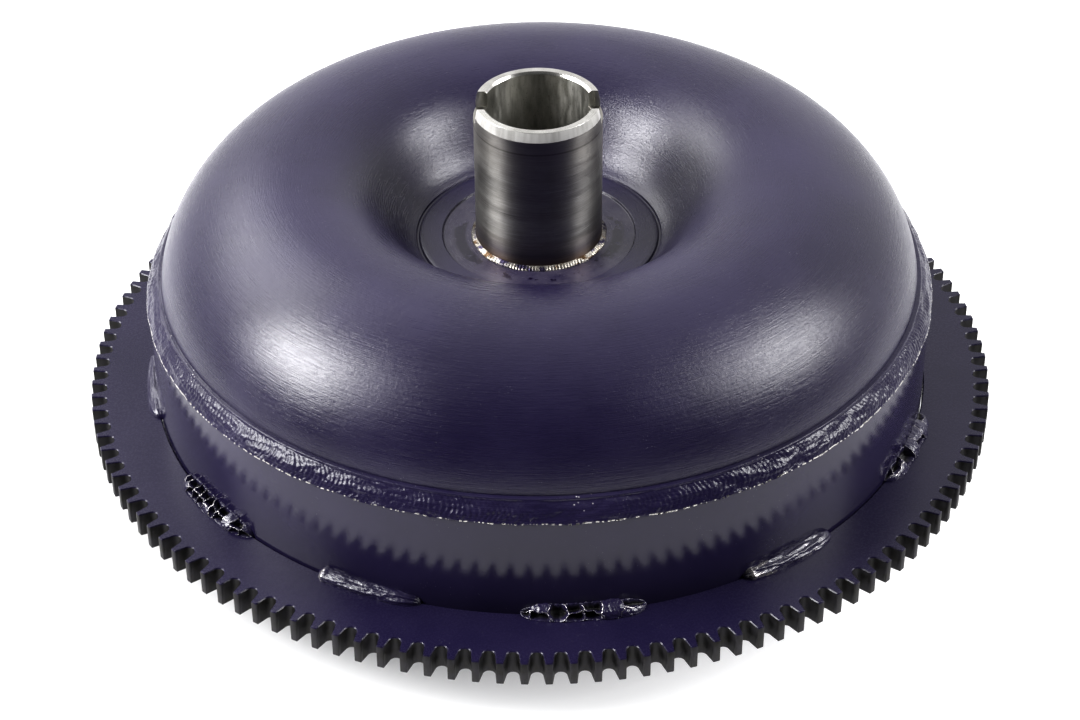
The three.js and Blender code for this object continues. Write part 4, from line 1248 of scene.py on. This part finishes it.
def bearing_cage(node, body, finish, needle_finish):
    """Cage ring with lips, and the needles that show through it."""
    base, top = levels(node)
    middle = (base + top) / 2
    inner, outer = BEARING
    ring = turned_mesh("ring", filleted([
        (inner, middle - 0.9), (inner + 0.9, middle - 0.9), (inner + 0.9, middle - 0.3),
        (outer - 0.8, middle - 0.3), (outer - 0.8, middle - 0.9), (outer, middle - 0.9),
        (outer, middle + 0.6), (inner, middle + 0.6),
    ], 0.15, 2), 160)
    meshes = [ring]
    radius = (top - base) / 2
    for i in range(NEEDLES):
        needle = turned_mesh("needle", filleted(
            [(0, 0, 0), (radius, 0, 0.3), (radius, 6.6, 0.3), (0, 6.6, 0)], arc=3), 20)
        work = bmesh.new()
        work.from_mesh(needle)
        for v in work.verts:
            v.co = Vector((v.co.z + 0.0218, v.co.y, v.co.x + middle * MM))
        bmesh.ops.reverse_faces(work, faces=work.faces)
        work.to_mesh(needle)
        work.free()
        meshes.append(placed(needle, i / NEEDLES * TAU))
    mesh = joined_mesh(node + "_fine", meshes)
    piece(node, mesh, body, finish, (needle_finish,))
    on_needle = (inner + 1.0, outer - 0.9)
    paint_faces(mesh, 1, lambda r, z, n: abs(z - middle) > 0.62
                and on_needle[0] < r < on_needle[1])


# ---------------------------------------------------------------- assembly


def build_housing(finishes):
    impeller_shell(finishes["dome"])
    front_cover(finishes["cover"])
    seam_weld(finishes["weld"])
    ring_gear(finishes["gear"], finishes["teeth"])
    for number in range(1, WELDS + 1):
        stitch_weld(number, finishes["stitch"])
    pump_hub(finishes["journal"], finishes["bright"], finishes["bored"], finishes["lead_in"])
    hub_weld(finishes["hub_weld"])
    crank_pilot(finishes["machined"])
    for number in range(1, LUGS + 1):
        mounting_lug(number, finishes["cover"])
    for number in range(1, PLUGS + 1):
        drain_plug(number, finishes["machined"])
    blade_ring("impeller_blade_ring", "housing", 1, finishes["sheet"], **IMPELLER_BLADES)
    washer("turbine_thrust_washer", "housing", finishes["bronze"], WASHER_BORE)
    bearing_race("rear_bearing_hub_race", "housing", finishes)


def build_turbine(finishes):
    turbine_shell(finishes["sheet"])
    blade_ring("turbine_blade_ring", "turbine", -1, finishes["sheet"], **TURBINE_BLADES)
    turbine_hub(finishes["machined"])
    for number in range(1, RIVETS + 1):
        turbine_rivet(number, finishes["machined"])
    bearing_race("front_bearing_turbine_race", "turbine", finishes)


def build_stator(finishes):
    stator_wheel(finishes["aluminium"])
    clutch_cam(finishes["machined"])
    clutch_cage(finishes["bronze"])
    washer("stator_front_plate", "stator", finishes["sheet"], PLATE_BORE)
    washer("stator_rear_plate", "stator", finishes["sheet"], PLATE_BORE)
    snap_ring("front_snap_ring", finishes["sheet"])
    snap_ring("rear_snap_ring", finishes["sheet"])
    bearing_race("front_bearing_stator_race", "stator", finishes)
    bearing_race("rear_bearing_stator_race", "stator", finishes)
    for number in range(1, ROLLERS + 1):
        clutch_roller(number, finishes["ground"])
    inner_race(finishes["machined"])
    bearing_cage("front_bearing_cage", "front_bearing", finishes["bronze"], finishes["ground"])
    bearing_cage("rear_bearing_cage", "rear_bearing", finishes["bronze"], finishes["ground"])


def all_finishes():
    return {
        "dome": dome_paint(),
        "cover": cover_paint(),
        "weld": weld_paint(),
        "stitch": stitch_paint(),
        "gear": gear_paint(),
        "teeth": tooth_steel(),
        "journal": hub_steel(),
        "bright": steel("bright_machined_steel", (0.44, 0.43, 0.41), (0.66, 0.65, 0.63)),
        "lead_in": lead_in_steel(),
        "bored": bored_steel(),
        "machined": steel("machined_steel", (0.26, 0.25, 0.24), (0.42, 0.41, 0.4)),
        "ground": steel("ground_steel", (0.5, 0.5, 0.5), (0.66, 0.66, 0.65), (0.14, 0.24)),
        "sheet": steel("sheet_steel", (0.24, 0.23, 0.22), (0.4, 0.39, 0.37), (0.3, 0.46), 2500.0),
        "bronze": steel("bronze", (0.36, 0.22, 0.09), (0.5, 0.33, 0.15), (0.28, 0.42)),
        "aluminium": cast_aluminium(),
        "hub_weld": hub_weld_metal(),
    }


# ---------------------------------------------------------------- stage, light, camera


def stage_mesh(name, mesh, finish):
    obj = linked(name, mesh)
    mesh.materials.append(finish)
    return obj


def disc_mesh(name, inner, outer):
    """A flat ring in metres, just under the part."""
    steps = 96
    height = cad_box[0].z - 0.0002
    points = []
    for radius in (inner, outer):
        for k in range(steps):
            angle = k / steps * TAU
            points.append((radius * math.cos(angle), radius * math.sin(angle), height))
    faces = []
    for k in range(steps):
        ahead = (k + 1) % steps
        faces.append((k, steps + k, steps + ahead, ahead))
    mesh = bpy.data.meshes.new(name)
    mesh.from_pydata(points, [], faces)
    return mesh


def glow(name, strength):
    """Even white that only the camera sees."""
    look = Look(name, Roughness=1.0, Specular_IOR_Level=0.0, Emission_Strength=strength)
    look.shader.inputs["Emission Color"].default_value = (1.0, 1.0, 1.0, 1.0)
    tone = look.noise(look.place, 0.5, 1.0)
    colour = look.mix(tone, (0.02, 0.02, 0.02), (0.03, 0.03, 0.03))
    return look.finish(Base_Color=colour)


def floor():
    """A small glowing table under the part, with a painted shadow that dims its glow near the
    part and sits off the spin axis, and a white surround that only the camera sees.
    """
    look = Look("table_white", Roughness=0.9, Specular_IOR_Level=0.1, Emission_Strength=0.66)
    # The painted shadow's centre lies a little off the spin axis.
    look.place = look.vector("ADD", look.place, PAINTED_SHADOW_OFFSET)
    radius = look.radius_and_height()[0]
    tone = look.noise(look.place, 3.0, 2.0)
    # Painted shadow: the table's glow dims toward the part, like a soft contact shadow.
    painted_shadow = look.span(radius, 0.130, 0.175)
    look.finish(Base_Color=look.mix(tone, (0.54, 0.54, 0.54), (0.56, 0.56, 0.56)))
    look.join(look.mix(painted_shadow, (0.1, 0.1, 0.1), (1.0, 1.0, 1.0)),
              look.shader.inputs["Emission Color"])
    stage_mesh("table", disc_mesh("table", 0.0005, TABLE), look.material)
    surround = stage_mesh("surround", disc_mesh("surround", TABLE, SURROUND),
                          glow("surround", 1.2))
    sphere = bpy.data.meshes.new("backdrop")
    work = bmesh.new()
    bmesh.ops.create_uvsphere(work, u_segments=48, v_segments=24, radius=BACKDROP)
    work.to_mesh(sphere)
    work.free()
    backdrop = stage_mesh("backdrop", sphere, glow("backdrop", 1.0))
    for obj in (surround, backdrop):
        obj.visible_diffuse = False
        obj.visible_glossy = False
        obj.visible_transmission = False
        obj.visible_shadow = False


def area_light(name, azimuth, elevation, distance, width, height, power):
    """A soft box that looks at the part from a compass direction and a height angle."""
    data = bpy.data.lights.new(name, "AREA")
    data.shape = "RECTANGLE"
    data.size, data.size_y = width, height
    data.energy = power
    obj = linked(name, data)
    turn, lift = math.radians(azimuth), math.radians(elevation)
    away = Vector((math.cos(turn) * math.cos(lift), math.sin(turn) * math.cos(lift),
                   math.sin(lift)))
    obj.location = LIGHT_TARGET + away * distance
    obj.rotation_euler = away.to_track_quat("Z", "Y").to_euler()


def studio():
    """Pale surroundings, darker toward the front, two soft boxes and a window behind."""
    world = bpy.data.worlds.new("studio")
    bpy.context.scene.world = world
    world.use_nodes = True
    tree = world.node_tree
    background = tree.nodes["Background"]
    direction = tree.nodes.new("ShaderNodeTexCoord").outputs["Generated"]
    parts = tree.nodes.new("ShaderNodeSeparateXYZ")
    tree.links.new(direction, parts.inputs[0])
    front = tree.nodes.new("ShaderNodeMapRange")
    front.interpolation_type = "SMOOTHSTEP"
    tree.links.new(parts.outputs[1], front.inputs["Value"])
    for key, value in {"From Min": -0.75, "From Max": 0.75, "To Min": 0.0, "To Max": 1.2}.items():
        front.inputs[key].default_value = value
    tree.links.new(front.outputs[0], background.inputs["Strength"])
    background.inputs["Color"].default_value = (1.0, 1.0, 1.0, 1.0)
    for name, settings in SOFT_BOXES.items():
        area_light(name, *settings)


def camera():
    """The viewpoint, 37 degrees above the horizon and one metre from the ring gear's centre."""
    elevation = math.radians(CAMERA_ELEVATION)
    aim = Vector((0, 0, (GEAR_LOW + CAMERA_AIM) * MM))
    centre = Vector((0, 0, GEAR_LOW * MM))
    away = Vector((0, -math.cos(elevation), math.sin(elevation)))
    place = centre + away * CAMERA_DISTANCE
    data = bpy.data.cameras.new("camera")
    data.sensor_width = 36.0
    data.lens = CAMERA_LENS
    data.clip_start = 0.05
    obj = linked("camera", data)
    obj.location = place
    obj.rotation_mode = "QUATERNION"
    look = (aim - place).to_track_quat("-Z", "Y")
    obj.rotation_quaternion = look @ Quaternion((0, 0, 1), -math.radians(CAMERA_ROLL))
    bpy.context.scene.camera = obj
    view = bpy.context.scene.view_settings
    view.view_transform = "Standard"
    view.gamma = 0.8
    view.exposure = 0.15


floor()
studio()
camera()
finishes = all_finishes()
build_housing(finishes)
build_turbine(finishes)
build_stator(finishes)
